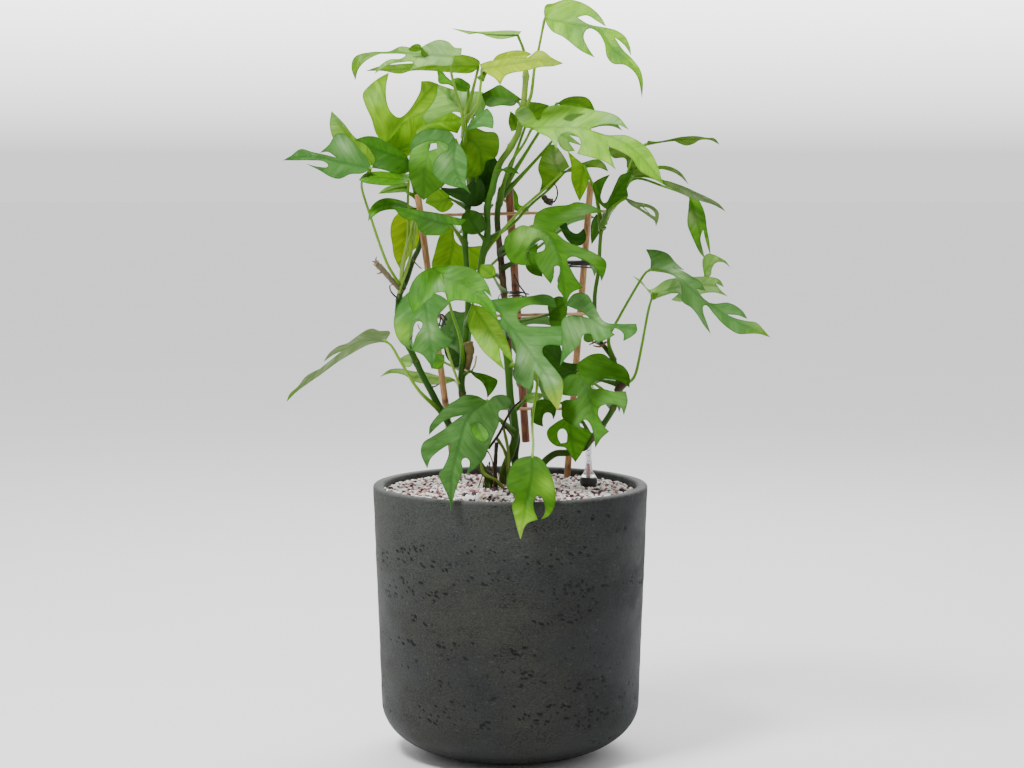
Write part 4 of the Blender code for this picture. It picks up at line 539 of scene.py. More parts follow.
        vine="vine_right", root=404, via=((94, 410, 2),), lean=0.2,
        rib=((72, 418, 6), (56, 427, 0), (38, 444, -4)),
        edge=((72, 418), (74, 426), (57, 430), (56, 440), (52, 449), (40, 450), (35, 442),
              (38, 432), (46, 424), (52, 411), (56, 396), (66, 392), (73, 400))),
    "dark_by_node": dict(
        vine="vine_right", root=452, via=(), lean=0.3,
        rib=((95, 455, -26), (89, 458, -32), (83, 463, -38)),
        edge=((95, 455), (93, 463), (86, 467), (81, 460), (80, 452), (88, 450))),
    "small_dark_right": dict(
        vine="vine_right", root=344, via=((78, 364, 2), (60, 382, 2)), lean=0.2,
        rib=((47, 382, -4), (36, 376, -8), (35, 358, -12)),
        edge=((47, 382), (40, 387), (32, 387), (25, 381), (22, 370), (25, 362), (36, 357),
              (35, 364), (38, 372), (44, 372), (47, 365), (50, 375))),
    "small_dark_left": dict(
        vine="vine_inner_left", root=414, via=(), lean=0.3,
        rib=((-44, 418, -24), (-28, 410, -32), (-25, 389, -40)),
        edge=((-44, 418), (-38, 417), (-28, 415), (-18, 411), (-14, 408), (-17, 399),
              (-25, 389), (-27, 399), (-32, 407), (-39, 412))),
    "lower_left_large": dict(
        vine="vine_centre", root=352, via=((-19, 372, -36),), lean=0.3,
        rib=((-25, 386, -66), (-46, 368, -92), (-56, 338, -116), (-64, 304, -138),
             (-65, 265, -158)),
        edge=((-25, 386), (-36, 391), (-50, 392), (-60, 386), (-70, 380), (-80, 369),
              (-88, 358), (-89, 348), (-80, 357), (-70, 365), (-52, 370), (-62, 363),
              (-72, 355), (-86, 346), (-95, 340), (-98, 330), (-91, 311), (-87, 322),
              (-76, 332), (-66, 338), (-68, 325), (-73, 313), (-78, 305), (-73, 291),
              (-67, 277), (-65, 264), (-62, 280), (-56, 298), (-52, 309), (-53, 320),
              (-49, 323), (-45, 320), (-45, 313), (-49, 304), (-38, 312), (-28, 323),
              (-24, 334), (-17, 350), (-12, 363), (-12, 374), (-2, 378), (1, 386), (-6, 392),
              (-18, 391)),
        holes=(((-44, 360), (-36, 362), (-28, 356), (-24, 346), (-29, 340), (-38, 345)),)),
    "seen_through_hole": dict(
        vine="vine_inner_left", root=346, via=(), lean=0.2,
        rib=((-38, 366, -34), (-34, 352, -44), (-25, 336, -54)),
        edge=((-38, 366), (-44, 360), (-43, 348), (-34, 340), (-24, 334), (-20, 345),
              (-24, 357), (-31, 364))),
    "over_the_rim": dict(
        vine="vine_centre", root=424,
        via=((14, 424, -6), (29, 410, -14), (24, 366, -44), (25, 338, -86)), lean=0.15,
        rib=((24, 325, -112), (23, 302, -140), (17, 272, -166), (11, 234, -172)),
        edge=((24, 325), (15, 324), (7, 321), (1, 313), (-4, 298), (-2, 287), (5, 281), (2, 271),
              (5, 255), (11, 233), (18, 250), (30, 255), (26, 266), (26, 276), (31, 281),
              (37, 273), (38, 263), (34, 255), (42, 259), (49, 272), (49, 287), (45, 303),
              (37, 318), (30, 324))),
    "left_arching": dict(
        vine="vine_left", root=374, via=((-99, 396, -12), (-118, 426, -16), (-129, 445, -18)),
        lean=-2.6,
        rib=((-136, 451, -20), (-165, 450, -36), (-200, 428, -56), (-244, 386, -74)),
        edge=((-136, 451), (-131, 461), (-142, 462), (-154, 464), (-166, 457), (-177, 449),
              (-188, 445), (-197, 438), (-203, 429), (-193, 436), (-181, 441), (-170, 442),
              (-185, 433), (-205, 422), (-222, 413), (-232, 401), (-240, 394), (-244, 385),
              (-234, 395), (-222, 404), (-206, 415), (-190, 427), (-172, 438), (-155, 447))),
    "pale_behind_left": dict(
        vine="vine_inner_left", root=394, via=((-57, 404, 50),), lean=0.9,
        rib=((-60, 408, 108), (-96, 412, 100), (-142, 412, 80)),
        edge=((-60, 408), (-64, 411), (-78, 413), (-92, 417), (-106, 418), (-120, 421),
              (-131, 420), (-142, 412), (-130, 416), (-116, 414), (-105, 407), (-90, 404),
              (-72, 404))),
    "pale_beside_stem": dict(
        vine="vine_left", root=428, via=(), lean=0.5,
        rib=((-106, 428, 20), (-113, 430, 24), (-122, 430, 28)),
        edge=((-106, 428), (-103, 434), (-110, 437), (-122, 431), (-118, 425), (-109, 423))),
    "olive_behind_left": dict(
        vine="vine_inner_left", root=428, via=(), lean=0.3,
        rib=((-55, 434, 10), (-62, 458, 26), (-58, 484, 38)),
        edge=((-55, 434), (-66, 441), (-76, 452), (-75, 470), (-66, 484), (-50, 483), (-45, 492),
              (-39, 490), (-38, 478), (-42, 462), (-46, 440))),
    "dark_by_cane": dict(
        vine="vine_inner_left", root=436, via=(), lean=0.3,
        rib=((-55, 436, -2), (-62, 434, 0), (-70, 437, 2)),
        edge=((-55, 436), (-62, 442), (-73, 447), (-70, 434), (-62, 424), (-55, 417), (-51, 428))),
    "bright_by_cane": dict(
        vine="vine_inner_left", root=420, via=((-64, 424, 20),), lean=0.3,
        rib=((-72, 428, 34), (-80, 430, 38), (-88, 428, 42)),
        edge=((-72, 428), (-72, 436), (-80, 437), (-88, 430), (-86, 421), (-76, 421))),
    "small_pale": dict(
        vine="vine_middle", root=372, via=(), lean=0.3,
        rib=((16, 386, 18), (26, 389, 12), (38, 393, 6)),
        edge=((16, 386), (15, 391), (24, 395), (38, 393), (30, 386), (22, 383))),
    "beside_cane": dict(
        vine="vine_middle", root=600, via=((-10, 606, 88),), lean=0.3,
        rib=((6, 594, 104), (7, 606, 106), (2, 619, 104)),
        edge=((6, 594), (-1, 604), (2, 619), (8, 609), (10, 599), (19, 597), (20, 590),
              (10, 589))),
}

# Leaves on the far side, each cut like a smaller copy of a front leaf and hidden behind it
BACK_LEAVES = {
    "back_centre": dict(like="centre_vivid", vine="vine_middle", root=520,
                        via=((-22, 532, 82),), depth=128),
    "back_low_centre": dict(like="centre_bluish", vine="vine_middle", root=420, via=(), depth=124,
                            drop=14),
    "back_top_right": dict(like="right_light", vine="vine_middle", root=614, via=(), depth=96),
    "back_low_right": dict(like="lower_right_large", vine="vine_right", root=378, via=(),
                           depth=112),
    "back_upper_left": dict(like="ovate_front", vine="vine_inner_left", root=600, via=(), depth=92),
    "back_left": dict(like="bluish_lower_left", vine="vine_left", root=496, via=(), depth=112),
}

# Greens seen in the photograph, as 8-bit sRGB, and the leaves that have them
# Given greens, and the leaves that wear each; the others are mid green
# The whitish sheen green is a painted sheen, standing in for light reflected off glossy leaf tops
GREENS = {
    "mid": (84, 142, 22), "vivid": (80, 144, 22), "bluish": (88, 140, 66), "pale": (144, 190, 90),
    "light": (130, 186, 36), "lime": (152, 182, 0), "backlit": (124, 172, 16), "fresh": (116, 164, 18),
    "olive": (90, 134, 6), "dark": (62, 110, 8), "lower": (64, 114, 14), "deep": (44, 88, 2),
    "shade": (32, 70, 2), "painted_sheen": (148, 186, 122), "grey": (136, 158, 98), "spring": (134, 184, 46),
    "dusk": (72, 98, 36), "slate": (78, 120, 56), "lemon": (172, 198, 8), "sage": (92, 110, 70),
}
# Painted light and shade in the greens: backlit paints light shining through a leaf, and the dark, deep
# and shade greens paint the shade inside the plant over the leaves' own darker green
LEAF_GREENS = {
    "pale": ("crown_left_pale", "far_right_pale", "far_right_upper", "pale_behind_left", "small_pale",
             "folded_pale", "pale_beside_stem", "striped_pale"),
    "grey": ("right_curled",),
    "sage": ("left_arching",),
    "dusk": ("far_right_edge_on", "right_drooping"),
    "lemon": ("lime_behind",),
    "light": ("right_light", "crown_right", "left_sliver", "pale_behind_umbrella"),
    "lime": ("young_lime", "yellow_hanging"),
    "backlit": ("large_backlit", "yellow_behind", "small_yellow", "yellow_right",
                "olive_backlit", "crown_edge_on"),
    "fresh": ("crown_left_under", "olive_spike", "crown_left_fold"),
    "spring": ("front_yellow_green",),
    "olive": ("olive_centre", "olive_basal", "olive_oval", "olive_edge_on", "dark_basal",
              "dark_above_right", "back_top_right"),
    "bluish": ("bluish_lower_left", "centre_bluish", "right_folded", "ovate_front",
               "bluish_triangle", "far_left_top"),
    "lower": ("lower_right_large", "centre_vivid", "over_the_rim"),
    "slate": ("lower_left_large", "far_right_main"),
    "vivid": ("umbrella", "left_green", "over_crossbar", "seen_through_hole"),
    "dark": ("dark_under_lime", "small_dark_left", "small_dark_right", "right_forked",
             "dark_thin_lobe", "behind_right_cane", "dark_by_node", "dark_between", "dark_in_sinus"),
    "deep": ("olive_behind_left", "dark_behind_centre", "dark_by_cane", "dark_below_crossbar"),
    "shade": ("dark_inner_centre", "deep_shade", "dark_under_top_lobe"),
}

# Leaves that show their underside to the front
UNDERSIDE_SEEN = ("crown_edge_on", "left_sliver")

# Leaves seen nearly edge-on, which are matt, or they would mirror the bright backdrop
MATT = ("left_arching", "far_right_edge_on", "crown_edge_on", "right_drooping")

# Leaves whose tip turns to another green, with the share of the length where the change starts
TIP_GREENS = {"crown_left_pale": ("olive", 0.72), "olive_spike": ("pale", 0.6),
              "right_hanging": ("grey", 0.75), "right_drooping": ("sage", 0.3),
              "dark_left_inner": ("dark", 0.3), "dark_hump": ("dark", 0.7),
              "over_the_rim": ("light", 0.55),
              "centre_bluish": ("fresh", 0.7), "far_right_main": ("fresh", 0.75),
              "left_arching": ("olive", 0.8)}

# Leaves with a yellowing tip, and how strong it is
YELLOW_TIPS = {"centre_bluish": 0.6, "over_the_rim": 0.5}

# Patches of another green: leaf, green, middle of the patch on the front drawing and its reach. The
# whitish sheen patches are a painted sheen.
TONES = (
    ("young_lime", "lemon", -5, 748, 10), ("crown_left_pale", "painted_sheen", -80, 764, 18),
    ("crown_right", "bluish", 78, 786, 18), ("crown_right", "bluish", 114, 760, 12),
    ("large_backlit", "pale", -146, 716, 10), ("large_backlit", "olive", -122, 682, 12),
    ("right_light", "painted_sheen", 112, 690, 16), ("right_light", "pale", 60, 672, 22),
    ("right_light", "painted_sheen", 14, 696, 9), ("olive_oval", "grey", 51, 650, 11),
    ("right_hanging", "grey", 196, 584, 8),
    ("far_left_top", "painted_sheen", -178, 664, 10), ("left_green", "bluish", -146, 640, 16),
    ("ovate_front", "painted_sheen", -72, 646, 8), ("over_crossbar", "slate", -84, 584, 20),
    # Painted shade: the dark patch on centre_vivid's top lobe, which turns away from the light
    ("centre_vivid", "dark", 62, 594, 30), ("centre_vivid", "pale", 18, 568, 12),
    ("umbrella", "lower", -50, 525, 22), ("umbrella", "painted_sheen", -76, 513, 7),
    ("umbrella", "bluish", -104, 508, 16), ("umbrella", "lower", -84, 526, 12),
    ("bluish_lower_left", "painted_sheen", -92, 462, 11),
    ("bluish_lower_left", "spring", -118, 460, 13), ("front_yellow_green", "pale", -26, 452, 9),
    ("centre_bluish", "painted_sheen", 16, 432, 16), ("centre_bluish", "painted_sheen", 42, 410, 13),
    ("centre_bluish", "mid", 16, 494, 24), ("right_folded", "painted_sheen", 74, 464, 14),
    ("right_folded", "slate", 78, 494, 14), ("right_folded", "painted_sheen", 100, 474, 9),
    ("lower_right_large", "vivid", 112, 388, 14), ("lower_right_large", "vivid", 92, 356, 17),
    ("lower_right_large", "deep", 64, 400, 14), ("lower_left_large", "bluish", -60, 350, 14),
    ("lower_left_large", "bluish", -74, 316, 22), ("lower_left_large", "deep", -38, 386, 12),
    ("seen_through_hole", "deep", -38, 362, 9), ("over_the_rim", "light", 40, 292, 12),
    ("over_the_rim", "light", 4, 262, 9), ("over_the_rim", "dark", 20, 296, 14),
    ("folded_pale", "painted_sheen", -50, 712, 12), ("far_right_main", "painted_sheen", 184, 524, 8),
    ("far_right_main", "dark", 166, 541, 9), ("far_right_main", "bluish", 240, 474, 26),
    ("far_right_pale", "painted_sheen", 190, 508, 22),
)

# Leaf stalks of a light green, and the greens of all stalks; the dark green is painted shade for the
# stalks of leaves in shade
LIGHT_STALKS = ("crown_left_pale", "young_lime", "crown_right", "yellow_hanging", "far_left_top",
                "left_arching", "olive_oval", "folded_pale", "crown_left_under", "left_edge_on",
                "over_the_rim")
STALK_GREENS = {"light": (118, 160, 40), "plain": (84, 130, 20), "dark": (54, 92, 8)}

# Greens of each stem near its foot and near its top
STEM_GREENS = {
    "vine_left": ((36, 72, 6), (92, 136, 26)), "vine_inner_left": ((44, 82, 8), (116, 156, 36)),
    "vine_centre": ((54, 98, 12), (140, 170, 66)), "vine_middle": ((40, 60, 12), (58, 96, 16)),
    "vine_right": ((48, 80, 10), (76, 112, 24)),
}

# Colours of the small forms on the plant, and the kinds without bark
TWIG_KINDS = {"stub": (128, 116, 92), "dry": (120, 78, 44), "knot": (66, 46, 30), "root": (78, 62, 36),
              "sheath": (96, 84, 44), "husk": (170, 150, 110), "dark": (44, 36, 22),
              "stalk": (146, 178, 70), "olive": (104, 122, 44)}
SMOOTH_KINDS = ("stalk", "olive", "husk")

# Small forms: kind, radius at the start and at the end, points of the front drawing
TWIGS = (
    ("stub", 2.6, 3.6, ((-118, 505, 26), (-127, 515, 20), (-138, 528, 14), (-146, 536, 10))),
    ("stub", 1.7, 0.6, ((-144, 533, 11), (-147, 537, 10), (-150, 538, 9))),
    ("stub", 1.4, 0.5, ((-145, 535, 11), (-146, 540, 10), (-145, 543, 9))),
    ("stub", 1.2, 0.5, ((-138, 527, 14), (-142, 525, 12), (-145, 524, 11))),
    ("root", 1.0, 0.5, ((-121, 496, 20), (-129, 504, 12), (-131, 511, 9), (-127, 513, 8))),
    ("root", 0.9, 0.5, ((-106, 540, 52), (-103, 536, 46), (-98, 531, 42), (-96, 530, 40))),
    ("root", 0.9, 0.5, ((-112, 448, 8), (-109, 453, 2), (-106, 457, 0))),
    ("sheath", 3.0, 5.5, ((-47, 420, -13), (-45, 430, -15), (-44, 440, -15), (-46, 450, -13))),
    ("husk", 1.2, 0.9, ((-50, 420, -20), (-44, 417, -21), (-39, 424, -20), (-37, 435, -18))),
    ("knot", 4.4, 4.0, ((116, 396, -8), (120, 401, -10), (126, 406, -11))),
    ("dry", 1.5, 0.7, ((101, 455, -4), (94, 451, -12), (86, 447, -15))),
    ("dry", 1.3, 0.7, ((104, 450, -6), (98, 445, -14), (90, 446, -16))),
    ("dark", 3.2, 4.0, ((36, 608, 15), (40, 603, 13), (45, 602, 11))),
    ("dark", 1.1, 0.6, ((44, 602, 11), (48, 603, 9), (51, 610, 7), (50, 618, 7), (47, 622, 8))),
    ("stalk", 2.0, 1.8, ((-121, 503, 24), (-117, 530, 24), (-109, 562, 34), (-104, 582, 50))),
    ("stalk", 1.8, 1.5, ((-120, 508, 22), (-108, 545, 30), (-100, 590, 45))),
    ("stalk", 1.6, 1.4, ((-56, 404, -18), (-63, 424, -20), (-70, 446, -24))),
    ("dark", 2.6, 2.0, ((-16, 288, -4), (-17, 305, -4), (-16, 325, -5), (-15, 340, -6))),
    ("dark", 1.5, 1.2, ((-24, 333, -20), (-12, 350, -22), (-5, 365, -24), (3, 378, -28),
                        (12, 386, -32))),
    ("dark", 1.3, 0.8, ((-10, 362, -16), (0, 350, -18), (5, 342, -20))),
    ("olive", 1.9, 1.6, ((-15, 345, 0), (-6, 330, 2), (-3, 312, 4), (-2, 286, 6))),
    ("olive", 1.7, 1.5, ((-8, 358, 0), (-3, 335, 0), (-1, 310, 0), (0, 284, 2))),
    ("olive", 2.0, 1.7, ((-33, 318, -10), (-28, 305, -12), (-15, 298, -14), (-8, 290, -14))),
    ("dry", 0.8, 0.6, ((-30, 338, -8), (-20, 320, -6), (-18, 290, -6))),
)

# Loose wires at the ties and on the stems, as points of the front drawing
WIRES = (
    ((57, 535, 52), (70, 536, 49), (84, 536, 54), (90, 534, 62)),
    ((58, 532, 52), (72, 532, 48), (86, 531, 54), (90, 531, 60)),
    ((60, 538, 54), (74, 538, 49), (87, 538, 54)),
    ((58, 533.5, 50), (72, 534, 47), (86, 534, 52)),
    ((59, 537, 51), (73, 537, 48), (86, 536.5, 53)),
    ((4, 524, 56), (9, 513, 52), (17, 501, 54), (12, 496, 58)),
    ((-1, 503, 58), (8, 505, 52), (20, 502, 56)),
    ((-2, 500, 58), (9, 501, 52), (19, 498, 57)),
    ((-80, 483, 13), (-75, 476, 9), (-70, 468, 11)),
    ((-79, 478, 11), (-74, 480, 8), (-69, 474, 11)),
    ((-79, 470, 13), (-74, 468, 9), (-70, 478, 11)),
    ((-77, 484, 11), (-76, 475, 7), (-78, 467, 11)),
    ((86, 452, 40), (95, 448, 20), (104, 443, 10)),
    ((-92, 404, 10), (-84, 401, 2), (-78, 404, 12)),
)

# Grain colours of the granulate with their shares
GRAINS = (((252, 252, 248), 0.42), ((236, 216, 204), 0.17), ((204, 172, 158), 0.07),
          ((140, 98, 104), 0.18), ((74, 62, 70), 0.16))


def mm(x, y, z):
    """Point in metres from millimetres."""
    return Vector((x, y, z)) / 1000


def seen(x, z, y):
    """Point (x, z) of the front drawing, moved along its line of sight to depth y."""
    reach = (y - EYE[1]) / -EYE[1]
    return mm(EYE[0] + (x - EYE[0]) * reach, y, EYE[2] + (z - EYE[2]) * reach)


def linear(color):
    """Linear color of an 8-bit sRGB color."""
    return tuple(c / 3295 if c < 11 else ((c / 255 + 0.055) / 1.055) ** 2.4 for c in color)


class Shader:
    """Principled material with short calls for the nodes that feed it."""

    def __init__(self, name, **plain):
        self.material = bpy.data.materials.new(name)
        self.material.use_nodes = True
        self.tree = self.material.node_tree
        self.surface = self.tree.nodes["Principled BSDF"]
        for socket, value in plain.items():
            self.surface.inputs[socket.replace("_", " ")].default_value = value

    def node(self, kind, inputs, **settings):
        made = self.tree.nodes.new("ShaderNode" + kind)
        for key, value in settings.items():
            setattr(made, key, value)
        for key, value in inputs.items():
            if isinstance(value, bpy.types.NodeSocket):
                self.tree.links.new(value, made.inputs[key])
            else:
                made.inputs[key].default_value = value
        return made

    def feed(self, socket, value):
        self.tree.links.new(value, self.surface.inputs[socket])

    def place(self, stretch=(1, 1, 1)):
        """Place on the object, with its directions stretched."""
        spot = self.node("TexCoord", {}).outputs["Object"]
        return self.node("Mapping", {"Vector": spot, "Scale": stretch}).outputs["Vector"]

    def noise(self, scale, detail=3, stretch=(1, 1, 1), at=None):
        inputs = {"Vector": at or self.place(stretch), "Scale": scale, "Detail": detail,
                  "Roughness": 0.6}
        return self.node("TexNoise", inputs).outputs["Fac"]

    def attribute(self, name, output="Vector"):
        return self.node("Attribute", {}, attribute_name=name).outputs[output]

    def parts(self, vector):
        return self.node("SeparateXYZ", {"Vector": vector}).outputs

    def math(self, operation, *values):
        return self.node("Math", dict(enumerate(values)), operation=operation).outputs[0]

    def times(self, value, factor):
        return self.math("MULTIPLY", value, factor)

    def step(self, value, start, stop, low=0.0, high=1.0):
        """Smooth step from low to high as the value goes from start to stop."""
        inputs = {"Value": value, "From Min": start, "From Max": stop, "To Min": low, "To Max": high}
        made = self.node("MapRange", inputs, interpolation_type="SMOOTHSTEP")
        return made.outputs["Result"]

    def mix(self, share, first, second, blend="MIX"):
        made = self.node("Mix", {}, data_type="RGBA", blend_type=blend)
        for slot, value in ((0, share), (6, first), (7, second)):
            if isinstance(value, bpy.types.NodeSocket):
                self.tree.links.new(value, made.inputs[slot])
            else:
                made.inputs[slot].default_value = value if slot == 0 else (*value[:3], 1)
        return made.outputs[2]

    def toned(self, color, gain):
        """Color with each channel multiplied by its gain."""
        return self.mix(1.0, color, gain, "MULTIPLY")

    def over(self, color, mask, share, cover):
        """Color with a share of another laid over it where the mask is."""
        return self.mix(self.times(mask, share), color, cover)

    def bump(self, height, distance, strength=1.0):
        """Relief of a height field, its distance in millimetres."""
        inputs = {"Height": height, "Distance": distance / 1000, "Strength": strength}
        self.feed("Normal", self.node("Bump", inputs).outputs["Normal"])


def blade_look():
    """Leaf blade: bands along its veins with patches of painted sheen, a dark outline and midrib groove
    that are painted shade, a painted highlight on the midrib, paler underside, yellow tip, faint gloss.
    """
    look = Shader("leaf_blade", Subsurface_Weight=0.14, Subsurface_Scale=0.0012,
                  Subsurface_Radius=(0.6, 1.0, 0.25))
    across, lateral, top = look.parts(look.attribute("leaf_place"))
    rim, number, yellow = look.parts(look.attribute("leaf_marks"))
    tint = look.attribute("leaf_tint", "Color")
    sheen = look.parts(look.attribute("leaf_sheen"))[0]
    darker = look.toned(tint, (0.36, 0.5, 0.3))
    lighter = look.toned(tint, (1.5, 1.32, 1.9))
    away = look.math("ABSOLUTE", across)
    place = {"X": look.times(lateral, 1.4), "Y": look.times(across, 0.05), "Z": look.times(number, 3.7)}
    along_veins = look.node("CombineXYZ", place).outputs["Vector"]
    band = look.step(look.noise(1.0, 2, at=along_veins), 0.36, 0.66)
    # Painted sheen: lighter, bluer patches along the veins stand in for light reflected off the blade
    painted_gloss_mask = look.step(look.noise(0.8, 1, at=along_veins), 0.5, 0.74)
    mottle = look.step(look.noise(46, 4), 0.3, 0.72)
    color = look.over(tint, band, 0.5, darker)
    color = look.over(color, painted_gloss_mask, 0.55, lighter)
    color = look.over(color, mottle, 0.2, darker)
    # Painted shade in the midrib's groove: darker within about 3 mm of the midrib
    color = look.mix(look.step(away, 0.4, 2.8, 0.6, 0.0), color, darker)
    from_vein = look.math("PINGPONG", lateral, 0.5)
    off_rib = look.step(away, 1.0, 5.0, 0.0, 0.34)
    laterals = look.times(look.step(from_vein, 0.02, 0.07, 1.0, 0.0), off_rib)
    color = look.mix(laterals, color, darker)
    # Painted highlight along the crest of the midrib
    color = look.mix(look.step(away, 0.2, 0.6, 0.14, 0.0), color, lighter)
    # Painted shade along the blade's edge, left off the matt leaves
    outline = look.step(rim, 0.2, 2.0, 0.6, 0.0)
    color = look.over(color, outline, sheen, darker)
    tip = look.step(rim, 2.0, 14.0, 1.0, 0.0)
    color = look.over(color, tip, yellow, (0.42, 0.52, 0.06))
    under = look.mix(0.45, look.toned(color, (1.1, 1.1, 1.15)), (0.16, 0.3, 0.1))
    look.feed("Base Color", look.mix(top, under, color))
    shine = look.step(look.noise(60, 3), 0.25, 0.8, 0.4, 0.56)
    look.feed("Roughness", look.math("ADD", shine, look.step(top, 0.0, 1.0, 0.2, 0.0)))
    look.feed("Specular IOR Level", look.times(sheen, 0.12))
    relief = look.math("ADD", look.times(look.noise(300, 3), 0.8), look.times(laterals, 4.0))
    look.bump(look.times(relief, sheen), 0.08, 0.6)
    return look.material


def stem_look():
    """Stems and leaf stalks: tint with fine length streaks and brown scars."""
    look = Shader("leaf_stem", Subsurface_Weight=0.1, Subsurface_Scale=0.003,
                  Subsurface_Radius=(0.6, 1.0, 0.25), Specular_IOR_Level=0.2)
    tint = look.attribute("leaf_tint", "Color")
    streak = look.step(look.noise(240, 4, (1, 1, 0.14)), 0.3, 0.72)
    color = look.over(tint, streak, 0.4, look.toned(tint, (0.55, 0.6, 0.5)))
    bark = look.attribute("bark", "Fac")
    patches = look.step(look.noise(150, 5, (1, 1, 0.35)), 0.35, 0.7)
    brown = look.mix(patches, (0.028, 0.016, 0.010), (0.14, 0.085, 0.045))
    edge = look.math("ADD", bark, look.math("SUBTRACT", look.noise(110, 4), 0.5))
    color = look.mix(look.step(edge, 0.35, 0.6), color, brown)
    look.feed("Base Color", color)
    look.feed("Roughness", look.step(bark, 0.2, 0.7, 0.42, 0.8))
    look.bump(look.noise(320, 4, (1, 1, 0.2)), 0.35, 0.7)
    return look.material


def pot_look():
    """Dark cast mineral: clouds, painted light on its left side and top, painted shade on its right
    side, grain, dust, black pits and a worn rim.
    """
    look = Shader("pot_mineral", Specular_IOR_Level=0.3)
    cloud = look.step(look.noise(9, 5, (1, 1, 1.3)), 0.36, 0.64)
    color = look.mix(cloud, linear((35, 39, 38)), linear((53, 54, 49)))
    place = look.parts(look.place())
    # Painted light: lighter towards the top
    color = look.mix(look.step(place["Z"], 0.16, 0.29, 0.0, 0.45), color, linear((72, 75, 70)))
    # Painted shade darkening the right side, and painted light on the left side, as lit from the left
    color = look.mix(look.step(place["X"], 0.0, 0.14, 0.0, 0.85), color, linear((24, 30, 32)))
    color = look.mix(look.step(place["X"], -0.14, -0.05, 0.25, 0.0), color, linear((66, 70, 66)))
    grain = look.step(look.noise(430, 3, (1, 1, 1.6)), 0.34, 0.66)
    color = look.over(color, grain, 0.75, look.toned(color, (0.42, 0.44, 0.44)))
    dust = look.step(look.noise(180, 4, (1, 1, 1.8)), 0.58, 0.78)
    color = look.over(color, dust, 0.3, linear((92, 94, 88)))
    cluster = look.step(look.noise(24, 3, (1, 1, 2.6)), 0.46, 0.58)
    specks = look.step(look.noise(420, 2, (1, 1, 2.2)), 0.57, 0.62)
    specks = look.times(specks, cluster)
    color = look.mix(specks, color, (0.004, 0.005, 0.005))
    pit = look.step(look.attribute("pit", "Fac"), 0.02, 0.26)
    color = look.mix(pit, color, (0.003, 0.004, 0.004))
    wear = look.math("ADD", look.attribute("rim_wear", "Fac"), look.times(look.noise(160, 3), 0.7))
    color = look.over(color, look.step(wear, 0.9, 1.4), 0.45, linear((88, 90, 88)))
    look.feed("Base Color", color)
    look.feed("Roughness", look.step(cloud, 0.0, 1.0, 0.62, 0.8))
    relief = look.math("SUBTRACT", look.times(grain, -0.5), look.times(specks, 1.5))
    look.bump(relief, 0.35, 0.8)
    return look.material


def grain_look(name, tinted):
    """Baked clay grains, dusty and pitted: with their own tints, or in two tones darker than the
    grains, partly painted shade in the gaps between them.
    """
    look = Shader(name, Roughness=0.85, Specular_IOR_Level=0.25)
    if tinted:
        color = look.attribute("leaf_tint", "Color")
    else:
        cells = look.node("TexVoronoi", {"Vector": look.place(), "Scale": 230.0}).outputs["Color"]
        pick = look.parts(cells)[0]
        # The layer below the grains is darker than they are, partly painted shade in the gaps between
        # them
        color = look.mix(look.step(pick, 0.35, 0.4), linear((50, 38, 42)), linear((120, 98, 94)))
    dust = look.step(look.noise(700, 3), 0.3, 0.72)
    color = look.over(color, dust, 0.45, look.toned(color, (0.62, 0.6, 0.6)))
    look.feed("Base Color", color)
    look.bump(look.noise(1400, 3), 0.2, 0.8)
    return look.material


def bamboo_look(name, light, dark, along):
    """Brown bamboo: length fibres along one direction, blotches and a faint waxy shine."""
    look = Shader(name, Specular_IOR_Level=0.35)
    stretch = [1.0, 1.0, 1.0]
    stretch[along] = 0.03
    fibre = look.step(look.noise(520, 4, stretch), 0.3, 0.7)
    stretch[along] = 0.25
    blotch = look.step(look.noise(60, 4, stretch), 0.35, 0.7)
    color = look.mix(fibre, linear(dark), linear(light))
    color = look.over(color, blotch, 0.5, look.toned(color, (0.5, 0.42, 0.38)))
    color = look.over(color, look.attribute("bark", "Fac"), 0.7, (0.05, 0.025, 0.014))
    look.feed("Base Color", color)
    look.feed("Roughness", look.step(blotch, 0.0, 1.0, 0.48, 0.68))
    look.bump(fibre, 0.12, 0.6)
    return look.material


def plastic_look(name, color, roughness, **plain):
    """Moulded plastic: even color with faint scuffs and handling marks."""
    look = Shader(name, **plain)
    scuff = look.step(look.noise(260, 4), 0.45, 0.75)
    scuffed = [c * 1.6 + 0.01 for c in color]
    look.feed("Base Color", look.over(color, scuff, 0.25, scuffed))
    look.feed("Roughness", look.step(scuff, 0.0, 1.0, roughness, roughness + 0.18))
    look.bump(look.noise(900, 2), 0.04, 0.5)
    return look.material


def floor_look():
    look = Shader("pale_floor", Specular_IOR_Level=0.2)
    look.feed("Base Color", look.mix(look.noise(3, 2), (0.86, 0.86, 0.86), (0.9, 0.9, 0.9)))
    look.feed("Roughness", look.step(look.noise(40, 2), 0.0, 1.0, 0.7, 0.8))
    return look.material


